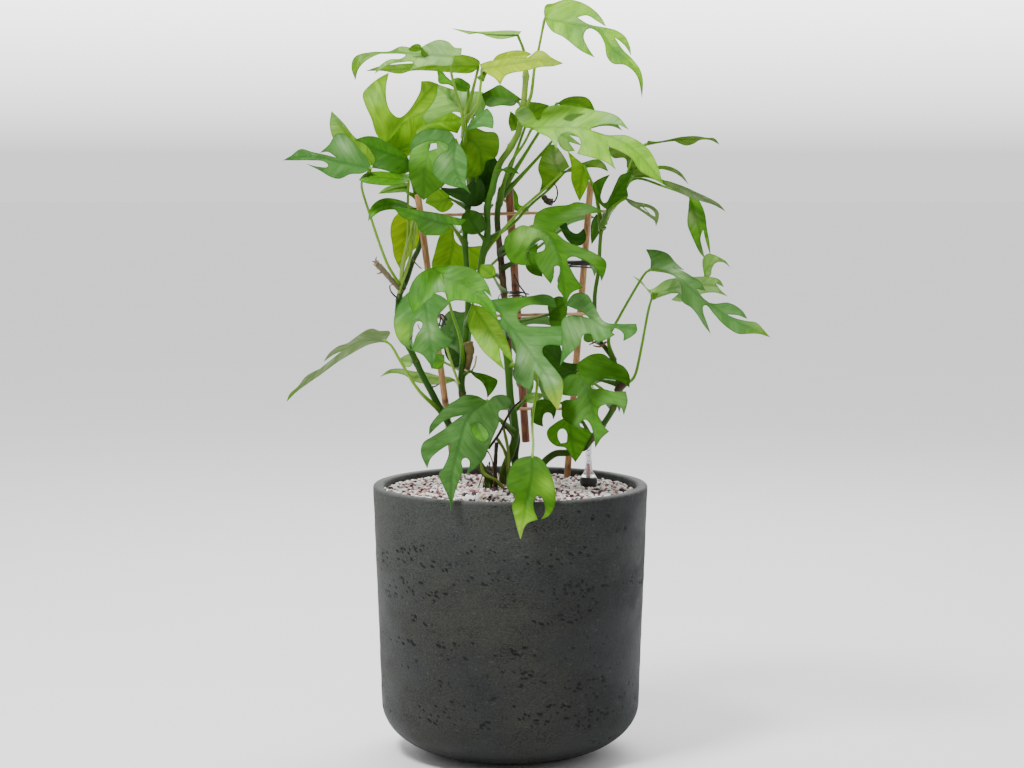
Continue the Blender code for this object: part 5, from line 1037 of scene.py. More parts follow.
class Gathered:
    """Points, faces and point values of several shapes, made into one piece."""

    def __init__(self):
        self.points = []
        self.faces = []
        self.values = {}

    def add(self, points, faces, **values):
        start = len(self.points)
        self.points += points
        self.faces += [[start + i for i in face] for face in faces]
        for name, value in values.items():
            listed = value if isinstance(value, list) else [value] * len(points)
            self.values.setdefault(name, []).extend(listed)

    def piece(self, name, look, slot, nodes=(), sharp=50):
        mesh = bpy.data.meshes.new(name)
        mesh.from_pydata(self.points, [], self.faces)
        for key, values in self.values.items():
            size = 1 if isinstance(values[0], (int, float)) else len(values[0])
            kind = {1: "FLOAT", 3: "FLOAT_VECTOR", 4: "FLOAT_COLOR"}[size]
            field = {1: "value", 3: "vector", 4: "color"}[size]
            flat = values if size == 1 else [part for value in values for part in value]
            mesh.attributes.new(key, kind, "POINT").data.foreach_set(field, flat)
        mesh.materials.append(look)
        mesh.shade_smooth()
        mesh.set_sharp_from_angle(angle=radians(sharp))
        made = bpy.data.objects.new(name, mesh)
        bpy.context.scene.collection.objects.link(made)
        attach(made, "root")
        if nodes:
            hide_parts(*nodes)
        return made


def smooth_line(points, parts):
    """Rounded line through 3D points, with each stretch cut into parts."""
    ends = [2 * points[0] - points[1]] + points + [2 * points[-1] - points[-2]]
    line = []
    for before, start, stop, after in zip(ends, ends[1:], ends[2:], ends[3:]):
        for i in range(parts):
            t = i / parts
            line.append(0.5 * (2 * start + (stop - before) * t
                               + (2 * before - 5 * start + 4 * stop - after) * t ** 2
                               + (3 * start - before - 3 * stop + after) * t ** 3))
    return line + [points[-1]]


def sweep(gathered, line, radii, sides, squash=1.0, **values):
    """Closed round tube along a line, with a radius in millimetres at each point."""
    points, faces = [], []
    way = (line[1] - line[0]).normalized()
    side = way.orthogonal().normalized()
    for i, (spot, radius) in enumerate(zip(line, radii)):
        way = (line[min(i + 1, len(line) - 1)] - line[max(i - 1, 0)]).normalized()
        side = (side - way * side.dot(way)).normalized()
        other = way.cross(side)
        for k in range(sides):
            turn = 2 * pi * k / sides
            points.append(spot + (side * cos(turn) + other * sin(turn) * squash) * radius / 1000)
    for i in range(len(line) - 1):
        for k in range(sides):
            after = (k + 1) % sides
            low, high = i * sides, (i + 1) * sides
            faces.append((low + k, low + after, high + after, high + k))
    last = (len(line) - 1) * sides
    faces.append(list(reversed(range(sides))))
    faces.append([last + k for k in range(sides)])
    spread = {}
    for name, value in values.items():
        per_ring = isinstance(value, list)
        spread[name] = [v for v in value for k in range(sides)] if per_ring else value
    gathered.add(points, faces, **spread)


def tint(color, rng=None, spread=0.0):
    """Linear color with an opaque alpha, made a little lighter or darker."""
    gain = 1 + (rng.uniform(-spread, spread) if rng else 0)
    return (*[min(c * gain, 1.0) for c in linear(color)], 1.0)


def stem_at(name, z):
    """Point of a stem's axis whose front drawing stands at height z."""
    path = STEMS[name]["path"]
    for low, high in zip(path, path[1:]):
        if low[1] <= z <= high[1]:
            t = (z - low[1]) / (high[1] - low[1])
            return tuple(a + (b - a) * t for a, b in zip(low, high))
    return path[-1] if z > path[-1][1] else path[0]


def back_leaf(leaf):
    """Front leaf's outline drawn smaller about its middle and set at the back, bowed the other way."""
    front = LEAVES[leaf["like"]]
    middle_x = sum(x for x, z in front["edge"]) / len(front["edge"])
    middle_z = sum(z for x, z in front["edge"]) / len(front["edge"])

    def smaller(x, z):
        low = middle_z - leaf.get("drop", 0)
        return middle_x + (x - middle_x) * BACK_SCALE, low + (z - middle_z) * BACK_SCALE

    start = front["rib"][0][2]
    rib = [(*smaller(x, z), leaf["depth"] - 0.6 * (y - start)) for x, z, y in front["rib"]]
    return dict(vine=leaf["vine"], root=leaf["root"], via=leaf["via"], lean=-front["lean"], rib=rib,
                edge=[smaller(x, z) for x, z in front["edge"]])


def all_leaves():
    leaves = dict(LEAVES)
    for name, leaf in BACK_LEAVES.items():
        leaves[name] = back_leaf(leaf)
    return leaves


class Surface:
    """Curved sheet of one leaf: gives the depth of any point of its front drawing."""

    def __init__(self, leaf):
        self.lean = leaf["lean"]
        curve = smooth_line([Vector(point) for point in leaf["rib"]], 6)
        self.rib = [tuple(point) for point in curve]
        (x0, z0, y0), (x1, z1, y1) = self.rib[0], self.rib[-1]
        self.length = hypot(x1 - x0, z1 - z0)
        self.way = ((x1 - x0) / self.length, (z1 - z0) / self.length)
        self.stretch = (sqrt(1 + ((y1 - y0) / self.length) ** 2), sqrt(1 + self.lean ** 2))
        self.calm = 0.15 if abs(self.lean) > EDGE_ON_LEAN else 1.0
        self.bends = [(*self.spot(x, z), y) for x, z, y in self.rib]
        self.spacing = min(max(self.length * self.stretch[0] / 9, 8), 15)

    def spot(self, x, z):
        """Place of a drawing point along and across the line from base to tip."""
        x0, z0 = self.rib[0][:2]
        along = (x - x0) * self.way[0] + (z - z0) * self.way[1]
        across = (x - x0) * -self.way[1] + (z - z0) * self.way[0]
        return along, across

    def rib_at(self, along):
        """Sideways place and depth of the midrib at a distance from the base."""
        along = min(max(along, self.bends[0][0]), self.bends[-1][0])
        for start, stop in zip(self.bends, self.bends[1:]):
            if along <= stop[0]:
                t = (along - start[0]) / max(stop[0] - start[0], 1e-6)
                return start[1] + (stop[1] - start[1]) * t, start[2] + (stop[2] - start[2]) * t
        return self.bends[-1][1:]

    def veins(self, x, z):
        """True distance from the midrib, and place among the side veins, one a whole number."""
        along, across = self.spot(x, z)
        off = (across - self.rib_at(along)[0]) * self.stretch[1]
        run = along * self.stretch[0] - 0.8 * abs(off) + 0.0035 * off ** 2
        return off, run / self.spacing + (0.5 if off < 0 else 0.0)

    def depth(self, x, z):
        along, across = self.spot(x, z)
        rib_across, rib_depth = self.rib_at(along)
        off = across - rib_across
        true_off = off * self.stretch[1]
        fold = -0.16 * abs(true_off) + 0.0042 * true_off ** 2
        wave = 1.6 * sin(along / 9 + self.rib[0][0]) * min(1, abs(true_off) / 30)
        lateral = self.veins(x, z)[1]
        swell = -0.45 * (0.5 - 0.5 * cos(2 * pi * lateral)) * min(1, abs(true_off) / 7)
        groove = 0.5 * exp(-(true_off / 1.8) ** 2)
        drift = 1.1 * noise.noise(Vector((x * 0.045, z * 0.045, self.rib[0][0])))
        return rib_depth + self.lean * off + fold + (wave + swell + groove + drift) * self.calm

    def place(self, x, z):
        return seen(x, z, self.depth(x, z))

    def flat(self, x, z):
        """Drawing point laid out at its true spacing, for even triangles."""
        along, across = self.spot(x, z)
        return Vector((along * self.stretch[0], across * self.stretch[1]))

    def drawn(self, flat):
        """Drawing point of a point that flat() laid out."""
        along, across = flat.x / self.stretch[0], flat.y / self.stretch[1]
        x0, z0 = self.rib[0][:2]
        return x0 + along * self.way[0] - across * self.way[1], \
            z0 + along * self.way[1] + across * self.way[0]


def inside(point, outline):
    """Whether a flat point lies within a closed outline."""
    hit = False
    for a, b in zip(outline, outline[1:] + outline[:1]):
        if (a.y > point.y) != (b.y > point.y):
            if point.x < (b.x - a.x) * (point.y - a.y) / (b.y - a.y) + a.x:
                hit = not hit
    return hit


def rounded(loop):
    """Closed flat outline with round stretches and bays, and with its pointed tips kept."""
    count = len(loop)
    area = sum(a.x * b.y - b.x * a.y for a, b in zip(loop, loop[1:] + loop[:1]))
    ways = [(loop[(i + 1) % count] - loop[i]).normalized() for i in range(count)]
    line = []
    for i in range(count):
        start, stop = loop[i], loop[(i + 1) % count]
        way = ways[i]
        ends = []
        for before, after in ((ways[i - 1], way), (way, ways[(i + 1) % count])):
            turn = before.x * after.y - before.y * after.x
            pointed = before.dot(after) < (0.25 if turn * area > 0 else -0.6)
            ends.append(way if pointed else (before + after).normalized())
        length = (stop - start).length
        parts = max(1, ceil(length / OUTLINE_STEP))
        for k in range(parts):
            t = k / parts
            line.append(start * (2 * t ** 3 - 3 * t ** 2 + 1) + stop * (3 * t ** 2 - 2 * t ** 3)
                        + ends[0] * length * (t ** 3 - 2 * t ** 2 + t)
                        + ends[1] * length * (t ** 3 - t ** 2))
    return line


def blade_sheet(leaf, surface):
    """Triangles of a blade's middle sheet: flat points, corners and distances from the edge."""
    loops = [rounded([surface.flat(x, z) for x, z in loop])
             for loop in [leaf["edge"], *leaf.get("holes", ())]]
    spots, edges = [], []
    for loop in loops:
        start = len(spots)
        spots += loop
        edges += [(start + i, start + (i + 1) % len(loop)) for i in range(len(loop))]
    border = list(spots)

    def room(point):
        return min((point - other).length_squared for other in border) ** 0.5

    start = len(spots)
    midrib = [surface.flat(x, z) for x, z, y in surface.rib]
    spots += [point for point in midrib if room(point) > 1.2 and inside(point, loops[0])]
    edges += [(i, i + 1) for i in range(start, len(spots) - 1)]
    rib_spots = spots[start:]
    low_x, high_x = min(p.x for p in loops[0]), max(p.x for p in loops[0])
    low_y, high_y = min(p.y for p in loops[0]), max(p.y for p in loops[0])
    for row in range(ceil((high_y - low_y) / (MESH_STEP * ROW_RISE))):
        for column in range(ceil((high_x - low_x) / MESH_STEP)):
            x = low_x + (column + 0.5 * (row % 2)) * MESH_STEP
            point = Vector((x, low_y + row * MESH_STEP * ROW_RISE))
            if inside(point, loops[0]) and room(point) > MESH_STEP * 0.55:
                if all((point - other).length > 2 for other in rib_spots):
                    spots.append(point)
    found = delaunay_2d_cdt(spots, edges, [range(len(loops[0]))], 1, 1e-4)
    corners, triangles = found[0], found[2]
    kept = []
    for triangle in triangles:
        middle = sum((corners[i] for i in triangle), Vector((0, 0))) / 3
        if not any(inside(middle, hole) for hole in loops[1:]):
            kept.append(tuple(triangle))
    return corners, kept, [room(corner) for corner in corners]


def blend(first, second, share):
    return tuple(a + (b - a) * share for a, b in zip(first, second))


def blade_tints(name, color, spots, shares):
    """Tint at each point of a leaf, with its own tip and patches."""
    tip, start = TIP_GREENS.get(name, ("mid", 1))
    turns = [min(max((share - start) * 4, 0), 1) for share in shares]
    tints = [blend(color, tint(GREENS[tip]), turn) for turn in turns]
    for leaf_name, green, middle_x, middle_z, reach in TONES:
        if leaf_name == name:
            patch = tint(GREENS[green])
            offs = [(x - middle_x) ** 2 + (z - middle_z) ** 2 for x, z in spots]
            near = [TONE_STRENGTH * exp(-off / reach ** 2) for off in offs]
            tints = [blend(old, patch, share) for old, share in zip(tints, near)]
    return tints


def add_blade(gathered, name, leaf, color, number):
    """Thin closed blade with its vein places, edge distances, tint and sheen at each point."""
    surface = Surface(leaf)
    flats, triangles, rims = blade_sheet(leaf, surface)
    spots = [surface.drawn(flat) for flat in flats]
    middle = [surface.place(x, z) for x, z in spots]
    normals = [Vector() for spot in spots]
    sides = set()
    for a, b, c in triangles:
        normal = (middle[b] - middle[a]).cross(middle[c] - middle[a])
        for i in (a, b, c):
            normals[i] += normal
        sides |= {(a, b), (b, c), (c, a)}
    offsets = [normal.normalized() * BLADE / 2000 for normal in normals]
    count = len(middle)
    points = [m + o for m, o in zip(middle, offsets)] + [m - o for m, o in zip(middle, offsets)]
    faces = list(triangles) + [(c + count, b + count, a + count) for a, b, c in triangles]
    for a, b in sides:
        if (b, a) not in sides:
            faces.append((b, a, a + count, b + count))
    veins = [surface.veins(x, z) for x, z in spots]
    front_faces_viewer = sum(normal.y for normal in normals) < 0
    top_first = front_faces_viewer != (name in UNDERSIDE_SEEN or name in BACK_LEAVES)
    tops = [1.0] * count + [0.0] * count if top_first else [0.0] * count + [1.0] * count
    yellow = YELLOW_TIPS.get(name, 0.0)
    length = max(surface.flat(*surface.rib[-1][:2]).x, 1)
    shares = [min(max(flat.x / length, 0), 1) for flat in flats]
    places = [(off, lateral, top) for (off, lateral), top in zip(veins + veins, tops)]
    marks = [(rim, number, yellow * max(0, (share - 0.75) * 4))
             for rim, share in zip(rims + rims, shares + shares)]
    tints = blade_tints(name, color, spots + spots, shares + shares)
    sheens = [(0.0 if name in MATT else 1.0, 0.0, 0.0)] * len(points)
    gathered.add(points, faces, leaf_place=places, leaf_marks=marks, leaf_tint=tints,
                 leaf_sheen=sheens)
    return surface


def add_stalk(gathered, name, leaf, surface, rng):
    """Leaf stalk with a swollen joint, running on under the blade as its thinning midrib."""
    root = leaf["root"]
    start = root if isinstance(root, tuple) else stem_at(leaf["vine"], root)
    bends = [start, *leaf["via"], leaf["rib"][0]]
    line = smooth_line([seen(*bend) for bend in bends], 8)
    count = len(line)
    radii = [PETIOLE_RADIUS * (1.5 * exp(-i / 3) + 1.1 - 0.35 * i / count) for i in range(count)]
    for back in range(1, min(4, count)):
        radii[-back] = PETIOLE_RADIUS * (1.0 if back < 3 else 0.9)
    steep = hypot(surface.stretch[0], surface.lean)
    behind = -steep if name in UNDERSIDE_SEEN or name in BACK_LEAVES else steep
    outline = [surface.flat(x, z) for x, z in leaf["edge"]]
    for i, (x, z, y) in enumerate(surface.rib[1:-1]):
        if i > 3 and not inside(surface.flat(x, z), outline):
            break
        share = (i + 1) / (len(surface.rib) - 1)
        radius = 1.25 * (1 - share) ** 1.2 + 0.22
        line.append(seen(x, z, surface.depth(x, z) + behind * (radius + 0.1)))
        radii.append(radius)
    shade = "light" if name in LIGHT_STALKS else "plain"
    # Stalks of leaves painted with shade get the dark green, painted shade as well
    if name in LEAF_GREENS["dark"] + LEAF_GREENS["deep"] + LEAF_GREENS["shade"]:
        shade = "dark"
    own = tint(STALK_GREENS[shade], rng, 0.12)
    at_root = own if isinstance(root, tuple) else stem_tint(leaf["vine"], line[0].z * 1000)
    tints = [blend(at_root, own, min(i / 7, 1)) for i in range(len(line))]
    sweep(gathered, line, radii, 8, leaf_tint=tints, bark=0.0)


def stem_tint(name, height):
    """Green of a stem at a height, lighter towards its top."""
    stem = STEMS[name]
    foot, top = seen(*stem["path"][0]).z * 1000, seen(*stem["path"][-1]).z * 1000
    share = min(max(((height - foot) / (top - foot) - 0.75) * 4, 0), 1)
    low_green, high_green = STEM_GREENS[name]
    return blend(tint(low_green), tint(high_green), share)


def add_stem(gathered, name):
    """Stem with a swelling and a scar ring at each leaf, browner towards its foot."""
    stem = STEMS[name]
    x, y = stem["foot"]
    foot = [mm(x, y, STEM_BURY), mm(x, y, FILL_HEIGHT + 8)]
    line = smooth_line(foot + [seen(*spot) for spot in stem["path"]], 9)
    joints = [leaf["root"] for leaf in all_leaves().values()
              if leaf["vine"] == name and not isinstance(leaf["root"], tuple)]
    joint_spots = [seen(*stem_at(name, z)) for z in joints]
    radii, bark, tints = [], [], []
    for i, spot in enumerate(line):
        share = i / (len(line) - 1)
        near = min((spot - joint).length * 1000 for joint in joint_spots)
        radius = stem["radius"] + (stem["top_radius"] - stem["radius"]) * share
        radii.append(radius * (1 + 0.16 * exp(-(near / 4) ** 2)))
        tints.append(stem_tint(name, spot.z * 1000))
        woody = max(0, 1 - (spot.z * 1000 - FILL_HEIGHT) / 150) * 0.45
        if name == "vine_middle":
            woody = max(woody, 0.75 * exp(-((spot.z * 1000 - 490) / 110) ** 4))
        bark.append(min(1, woody + 0.5 * exp(-(near / 1.6) ** 2)))
    sweep(gathered, line, radii, 16, leaf_tint=tints, bark=bark)


def add_vines():
    """Blades of each vine as one piece, and its stem with the stalks as another."""
    rng = Random(3)
    blade, stem = blade_look(), stem_look()
    leaves = all_leaves()
    greens = {name: GREENS[key] for key, names in LEAF_GREENS.items() for name in names}
    for vine in STEMS:
        blades, stalks = Gathered(), Gathered()
        add_stem(stalks, vine)
        for number, (name, leaf) in enumerate(leaves.items()):
            if leaf["vine"] == vine:
                like = BACK_LEAVES[name]["like"] if name in BACK_LEAVES else name
                color = tint(greens.get(name, greens.get(like, GREENS["mid"])), rng, 0.06)
                surface = add_blade(blades, name, leaf, color, number)
                add_stalk(stalks, name, leaf, surface, rng)
        blades.piece(vine + "_blades", blade, "foliage", [vine])
        stalks.piece(vine + "_stem_and_stalks", stem, "foliage", [vine])
    return stem


def corner(radius, height, width, rise, count):
    """Rounded lower corner of a profile, from the wall down to the foot."""
    foot = radius - width
    angles = [pi / 2 * (1 - i / count) for i in range(count + 1)]
    return [(foot + width * sin(a), height + rise - rise * cos(a)) for a in angles]


def spread_rows(profile, step):
    """Profile with rows no further apart than a step."""
    rows = []
    for (r0, z0), (r1, z1) in zip(profile, profile[1:]):
        parts = max(1, round(hypot(r1 - r0, z1 - z0) / step))
        rows += [(r0 + (r1 - r0) * i / parts, z0 + (z1 - z0) * i / parts) for i in range(parts)]
    return rows + [profile[-1]]


def pot_pits(rng):
    """Pits of the pot's outside as (round the pot, height, half width, half height), in clusters."""
    pits = []
    around = 2 * pi * RIM_RADIUS
    for band, spread, count in PIT_BANDS:
        for cluster in range(count):
            middle, height = rng.uniform(0, around), rng.gauss(band, spread)
            for pit in range(rng.randint(4, 12)):
                wide = rng.choice(PIT_WIDTHS) * rng.uniform(0.8, 1.2)
                pits.append((middle + rng.gauss(0, 15), height + rng.gauss(0, 4), wide,
                             max(0.75, wide * rng.uniform(0.25, 0.45))))
    return pits


def pot_rows():
    """Profile from the inside floor over the rim to the underside, and where the outside starts."""
    inner_rim, inner_waist = RIM_RADIUS - POT_WALL, WAIST_RADIUS - POT_WALL
    curve = [(RIM_ROUND * cos(radians(a)), RIM_ROUND * sin(radians(a))) for a in (90, 60, 30, 0)]
    crest = POT_HEIGHT - RIM_ROUND
    outer_rim = [(RIM_RADIUS - RIM_ROUND + out, crest + up) for out, up in curve]
    inner_round = [(inner_rim + RIM_ROUND - out, crest + up) for out, up in reversed(curve)]
    floor_corner = corner(inner_waist, POT_FLOOR, CORNER_WIDTH - POT_WALL, CORNER_HEIGHT - POT_WALL, 6)
    inside_rows = [(40, POT_FLOOR)] + list(reversed(floor_corner))
    outside = [outer_rim[-1]] + corner(WAIST_RADIUS, 0, CORNER_WIDTH, CORNER_HEIGHT, 24)
    before = inside_rows + inner_round + outer_rim[:-1]
    return before + spread_rows(outside, POT_STEP_HEIGHT) + [(30, 0)], len(before)


def pit_depths(heights, first):
    """Share of the full depth of a pit at each row and step of the pot, from its first outer row."""
    pit = [[0.0] * POT_STEPS for height in heights]
    around = 2 * pi * RIM_RADIUS
    for place, height, wide, tall in pot_pits(Random(11)):
        column = place / around * POT_STEPS
        reach = ceil(2 + wide * 1.5 / around * POT_STEPS)
        for row in range(first, len(heights)):
            if abs(heights[row] - height) < tall * 1.6 + 1:
                for k in range(floor(column) - reach, floor(column) + reach + 1):
                    dx = (k - column) / POT_STEPS * around / wide
                    dz = (heights[row] - height) / tall
                    ragged = 0.9 * noise.noise(Vector((k * 0.7, row * 1.1, 5)))
                    depth = 1.0 - hypot(dx, dz + 0.35 * dx) + ragged
                    pit[row][k % POT_STEPS] = max(pit[row][k % POT_STEPS], depth)
    return pit


def add_pot():
    """Turned pot with pits and slight unevenness in its outside."""
    profile, first = pot_rows()
    pit = pit_depths([z for r, z in profile], first)
    points, faces, pits, wear = [], [], [], []
    for row, (r, z) in enumerate(profile):
        for k in range(POT_STEPS):
            turn = 2 * pi * k / POT_STEPS
            spot = Vector((cos(turn), sin(turn), z / 90))
            uneven = 0.35 * noise.noise(spot * 6) + 0.12 * noise.noise(spot * 45)
            dent = uneven - PIT_DEPTH * min(max(pit[row][k], 0), 1) if row >= first and z > 4 else 0
            points.append(mm((r + dent) * cos(turn), (r + dent) * sin(turn), z))
            pits.append(pit[row][k])
            wear.append(exp(-((POT_HEIGHT - z) / 4) ** 2))
    for row in range(len(profile) - 1):
        for k in range(POT_STEPS):
            after = (k + 1) % POT_STEPS
            faces.append((row * POT_STEPS + k, (row + 1) * POT_STEPS + k,
                          (row + 1) * POT_STEPS + after, row * POT_STEPS + after))
    last = (len(profile) - 1) * POT_STEPS
    faces.append([last + k for k in range(POT_STEPS)])
    faces.append(list(reversed(range(POT_STEPS))))
    pot = Gathered()
    pot.add(points, faces, pit=pits, rim_wear=wear)
    pot.piece("pot_cast", pot_look(), "pot", ["pot"], sharp=75)


def cane_point(cane, z):
    """Drawing point of a cane at a height, with its depth: the fronts of all canes line up."""
    (top_x, top_z), (foot_x, foot_z) = cane["top"], cane["foot"]
    along = (z - foot_z) / (top_z - foot_z)
    depth = CANE_DEPTH_FOOT + (CANE_DEPTH_TOP - CANE_DEPTH_FOOT) * (z - 300) / (620 - 300)
    return foot_x + (top_x - foot_x) * along, z, depth + cane["radius"]


def standing_in_granulate():
    """Level places and radii of what stands in the granulate."""
    spots = [(*stem["foot"], stem["radius"]) for stem in STEMS.values()]
    spots.append((*GAUGE_AT, COLLAR_RADIUS))
    for name in ("trellis_cane_left", "trellis_cane_right"):
        foot = seen(*cane_point(CANES[name], FILL_HEIGHT)) * 1000
        spots.append((foot.x, foot.y, CANES[name]["radius"]))
    return spots


def add_grain(gathered, centre, size, rng, color):
    """One rough grain: a small ball of rings with every point moved a little."""
    points, faces = [], []
    sides = 6
    rows = (0.0, 0.27, 0.55, 0.8, 1.0)
    turn = rng.uniform(0, pi)
    stretch = Vector((rng.uniform(0.8, 1.2), rng.uniform(0.75, 1.1), rng.uniform(0.7, 1.0)))
    for share in rows:
        angle = pi * share
        for k in range(1 if share in (0.0, 1.0) else sides):
            around = 2 * pi * k / sides
            way = Vector((sin(angle) * cos(around), sin(angle) * sin(around), cos(angle)))
            way = way * (1 + rng.uniform(-0.16, 0.16)) * size
            way = Vector((way.x * stretch.x, way.y * stretch.y, way.z * stretch.z))
            points.append(centre + mm(way.x * cos(turn) - way.y * sin(turn),
                                      way.x * sin(turn) + way.y * cos(turn), way.z))
    last = len(points) - 1
    for k in range(sides):
        after = (k + 1) % sides
        faces.append((0, 1 + k, 1 + after))
        faces.append((last, last - sides + after, last - sides + k))
        for ring in range(len(rows) - 3):
            a = 1 + ring * sides
            faces.append((a + k, a + sides + k, a + sides + after, a + after))
    gathered.add(points, faces, leaf_tint=color)


def add_granulate():
    """Grains over the whole top of the fill, and a few strays on the pot's rim."""
    rng = Random(23)
    grains = Gathered()
    rim = RIM_RADIUS - POT_WALL - 2.6
    taken = standing_in_granulate()
    kinds = [kind for kind, share in GRAINS]
    shares = [share for kind, share in GRAINS]
    for row in range(ceil(2 * rim / (GRAIN_SPACING * ROW_RISE))):
        for column in range(ceil(2 * rim / GRAIN_SPACING) + 1):
            x = -rim + (column + 0.5 * (row % 2)) * GRAIN_SPACING + rng.uniform(-1.1, 1.1)
            y = -rim + row * GRAIN_SPACING * ROW_RISE + rng.uniform(-1.1, 1.1)
            size = rng.uniform(*GRAIN_SIZES)
            if hypot(x, y) > rim or any(hypot(x - a, y - b) < r + 1.6 for a, b, r in taken):
                continue
            swell = MOUND * max(0, 1 - (hypot(x, y) / MOUND_RADIUS) ** 2)
            height = FILL_HEIGHT + swell + rng.uniform(-0.6, 1.9)
            color = tint(rng.choices(kinds, shares)[0], rng, 0.18)
            add_grain(grains, mm(x, y, height), size, rng, color)
    for turn in STRAY_GRAIN_TURNS:
        angle, reach = radians(turn + rng.uniform(-2, 2)), RIM_RADIUS - rng.uniform(3, 9)
        spot = mm(reach * cos(angle), reach * sin(angle), POT_HEIGHT + 1.1)
        add_grain(grains, spot, 1.5, rng, tint(kinds[0]))
    grains.piece("granulate_grains", grain_look("clay_grains", True), "granulate", sharp=80)
    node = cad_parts["granulate"]
    node.data.materials.clear()
    node.data.materials.append(grain_look("clay_below", False))


def add_trellis():
    """Canes and crossbars of bamboo with knots, flat cut ends and fibres."""
    shades = {"trellis_cane_left": ((196, 150, 100), (140, 100, 62)),
              "trellis_cane_middle": ((150, 92, 64), (96, 54, 38)),
              "trellis_cane_right": ((190, 144, 96), (134, 92, 58))}
    for name, cane in CANES.items():
        rng = Random(len(name))
        top = seen(*cane_point(cane, cane["top"][1]))
        foot = seen(*cane_point(cane, cane["foot"][1]))
        if cane["foot"][1] < 320:
            foot = top + (foot - top) * ((top.z - CANE_BURY / 1000) / (top.z - foot.z))
        count = 90
        knots = [rng.uniform(0.1, 0.2) + 0.23 * i for i in range(4)]
        line, radii, bark = [], [], []
        for i in range(count + 1):
            share = i / count
            near = min(abs(share - knot) for knot in knots) * (top - foot).length * 1000
            line.append(foot + (top - foot) * share)
            radii.append(cane["radius"] * (0.985 + 0.035 * exp(-(near / 2.2) ** 2)
                                           + 0.012 * sin(share * 37 + rng.uniform(-0.3, 0.3))))
            stained = 0.6 if name.endswith("right") and share < 0.22 else 0
            bark.append(exp(-(near / 1.1) ** 2) + stained)
        made = Gathered()
        sweep(made, line, radii, 20, bark=bark)
        made.piece(name + "_bamboo", bamboo_look(name, *shades[name], 2), "bamboo", [name])
    bar_look = bamboo_look("crossbar", (220, 176, 138), (176, 124, 94), 0)
    middle_cane = CANES["trellis_cane_middle"]
    for name, (left, right) in CROSSBARS.items():
        ends = []
        for x, z in (left, right):
            front = cane_point(middle_cane, z)[2] - middle_cane["radius"]
            ends.append(seen(x, z, front - CROSSBAR_GAP - CROSSBAR_RADIUS))
        line = [ends[0] + (ends[1] - ends[0]) * i / 40 for i in range(41)]
        radii = [CROSSBAR_RADIUS * (0.97 + 0.04 * sin(i * 1.7)) for i in range(41)]
        made = Gathered()
        sweep(made, line, radii, 14, bark=[0.5 if i in (9, 27) else 0.0 for i in range(41)])
        made.piece(name + "_bamboo", bar_look, "bamboo", [name])


def turned(profile, sides, centre, gathered, **values):
    """Solid of revolution from a profile that starts and ends on the axis."""
    points, faces, rings = [], [], []
    for r, z in profile:
        around = 1 if r < 0.01 else sides
        rings.append([len(points) + k for k in range(around)])
        for k in range(around):
            turn = 2 * pi * k / around
            points.append(mm(centre[0] + r * cos(turn), centre[1] + r * sin(turn), z))
    for upper, lower in zip(rings, rings[1:]):
        for k in range(sides):
            after = (k + 1) % sides
            face = [upper[k % len(upper)], lower[k % len(lower)],
                    lower[after % len(lower)], upper[after % len(upper)]]
            faces.append(list(dict.fromkeys(face)))
    gathered.add(points, faces, **values)


def add_gauge():
    """Water gauge: ribbed black collar, clear tube with plain scale marks, and the red rod."""
    low, rim = GAUGE_FOOT, COLLAR_RADIUS
    sleeve = Gathered()
    profile = [(0, low + 3), (4.6, low + 3), (4.6, 297.6), (rim - 1.6, 298), (rim - 0.5, 297.4),
               (rim, 296), (rim, 291), (rim - 0.7, 290.6), (rim - 0.7, 289.6), (rim, 289.2),
               (rim, 282), (7, 282), (7, low), (0, low)]
    turned(profile, 48, GAUGE_AT, sleeve)
    black = plastic_look("black_plastic", (0.016, 0.015, 0.015), 0.32)
    sleeve.piece("gauge_sleeve_ribbed", black, "gauge_black", ["gauge_sleeve"], sharp=35)
    tube = Gathered()
    profile = [(0, 338), (1.6, 337.8), (2.9, 336.6), (3.6, 334.8), (3.7, 320), (3.8, 308),
               (4.4, 305.4), (5.6, 302.4), (7.4, 299.6), (8.0, 298.3), (4.2, 298.3), (4.2, 286),
               (2.7, 286), (2.7, 334), (1.8, 335.2), (0, 335.5)]
    turned(profile, 48, GAUGE_AT, tube)
    clear = plastic_look("clear_plastic", (0.95, 0.95, 1.0), 0.04, Transmission_Weight=0.8, IOR=1.15)
    tube.piece("gauge_tube_clear", clear, "gauge_clear", ["gauge_tube"], sharp=40)
    rod = Gathered()
    profile = [(0, 313), (1.4, 312.8), (2, 312.2), (2, low + 3.3), (0, low + 3.3)]
    turned(profile, 24, GAUGE_AT, rod)
    red = plastic_look("red_plastic", (0.55, 0.03, 0.02), 0.35)
    rod.piece("gauge_float_rod", red, "gauge_red", ["gauge_float"])
    marks = Gathered()
    for height in MARK_HEIGHTS:
        points = [mm(GAUGE_AT[0] + 3.86 * sin(turn), GAUGE_AT[1] - 3.86 * cos(turn), height + up)
                  for up in (-0.35, 0.35) for turn in (-0.4, -0.2, 0.0, 0.2, 0.4)]
        marks.add(points, [(i, i + 1, i + 6, i + 5) for i in range(4)])
    grey = plastic_look("grey_marks", (0.2, 0.2, 0.24), 0.5)
    marks.piece("gauge_scale_marks", grey, "gauge_black")


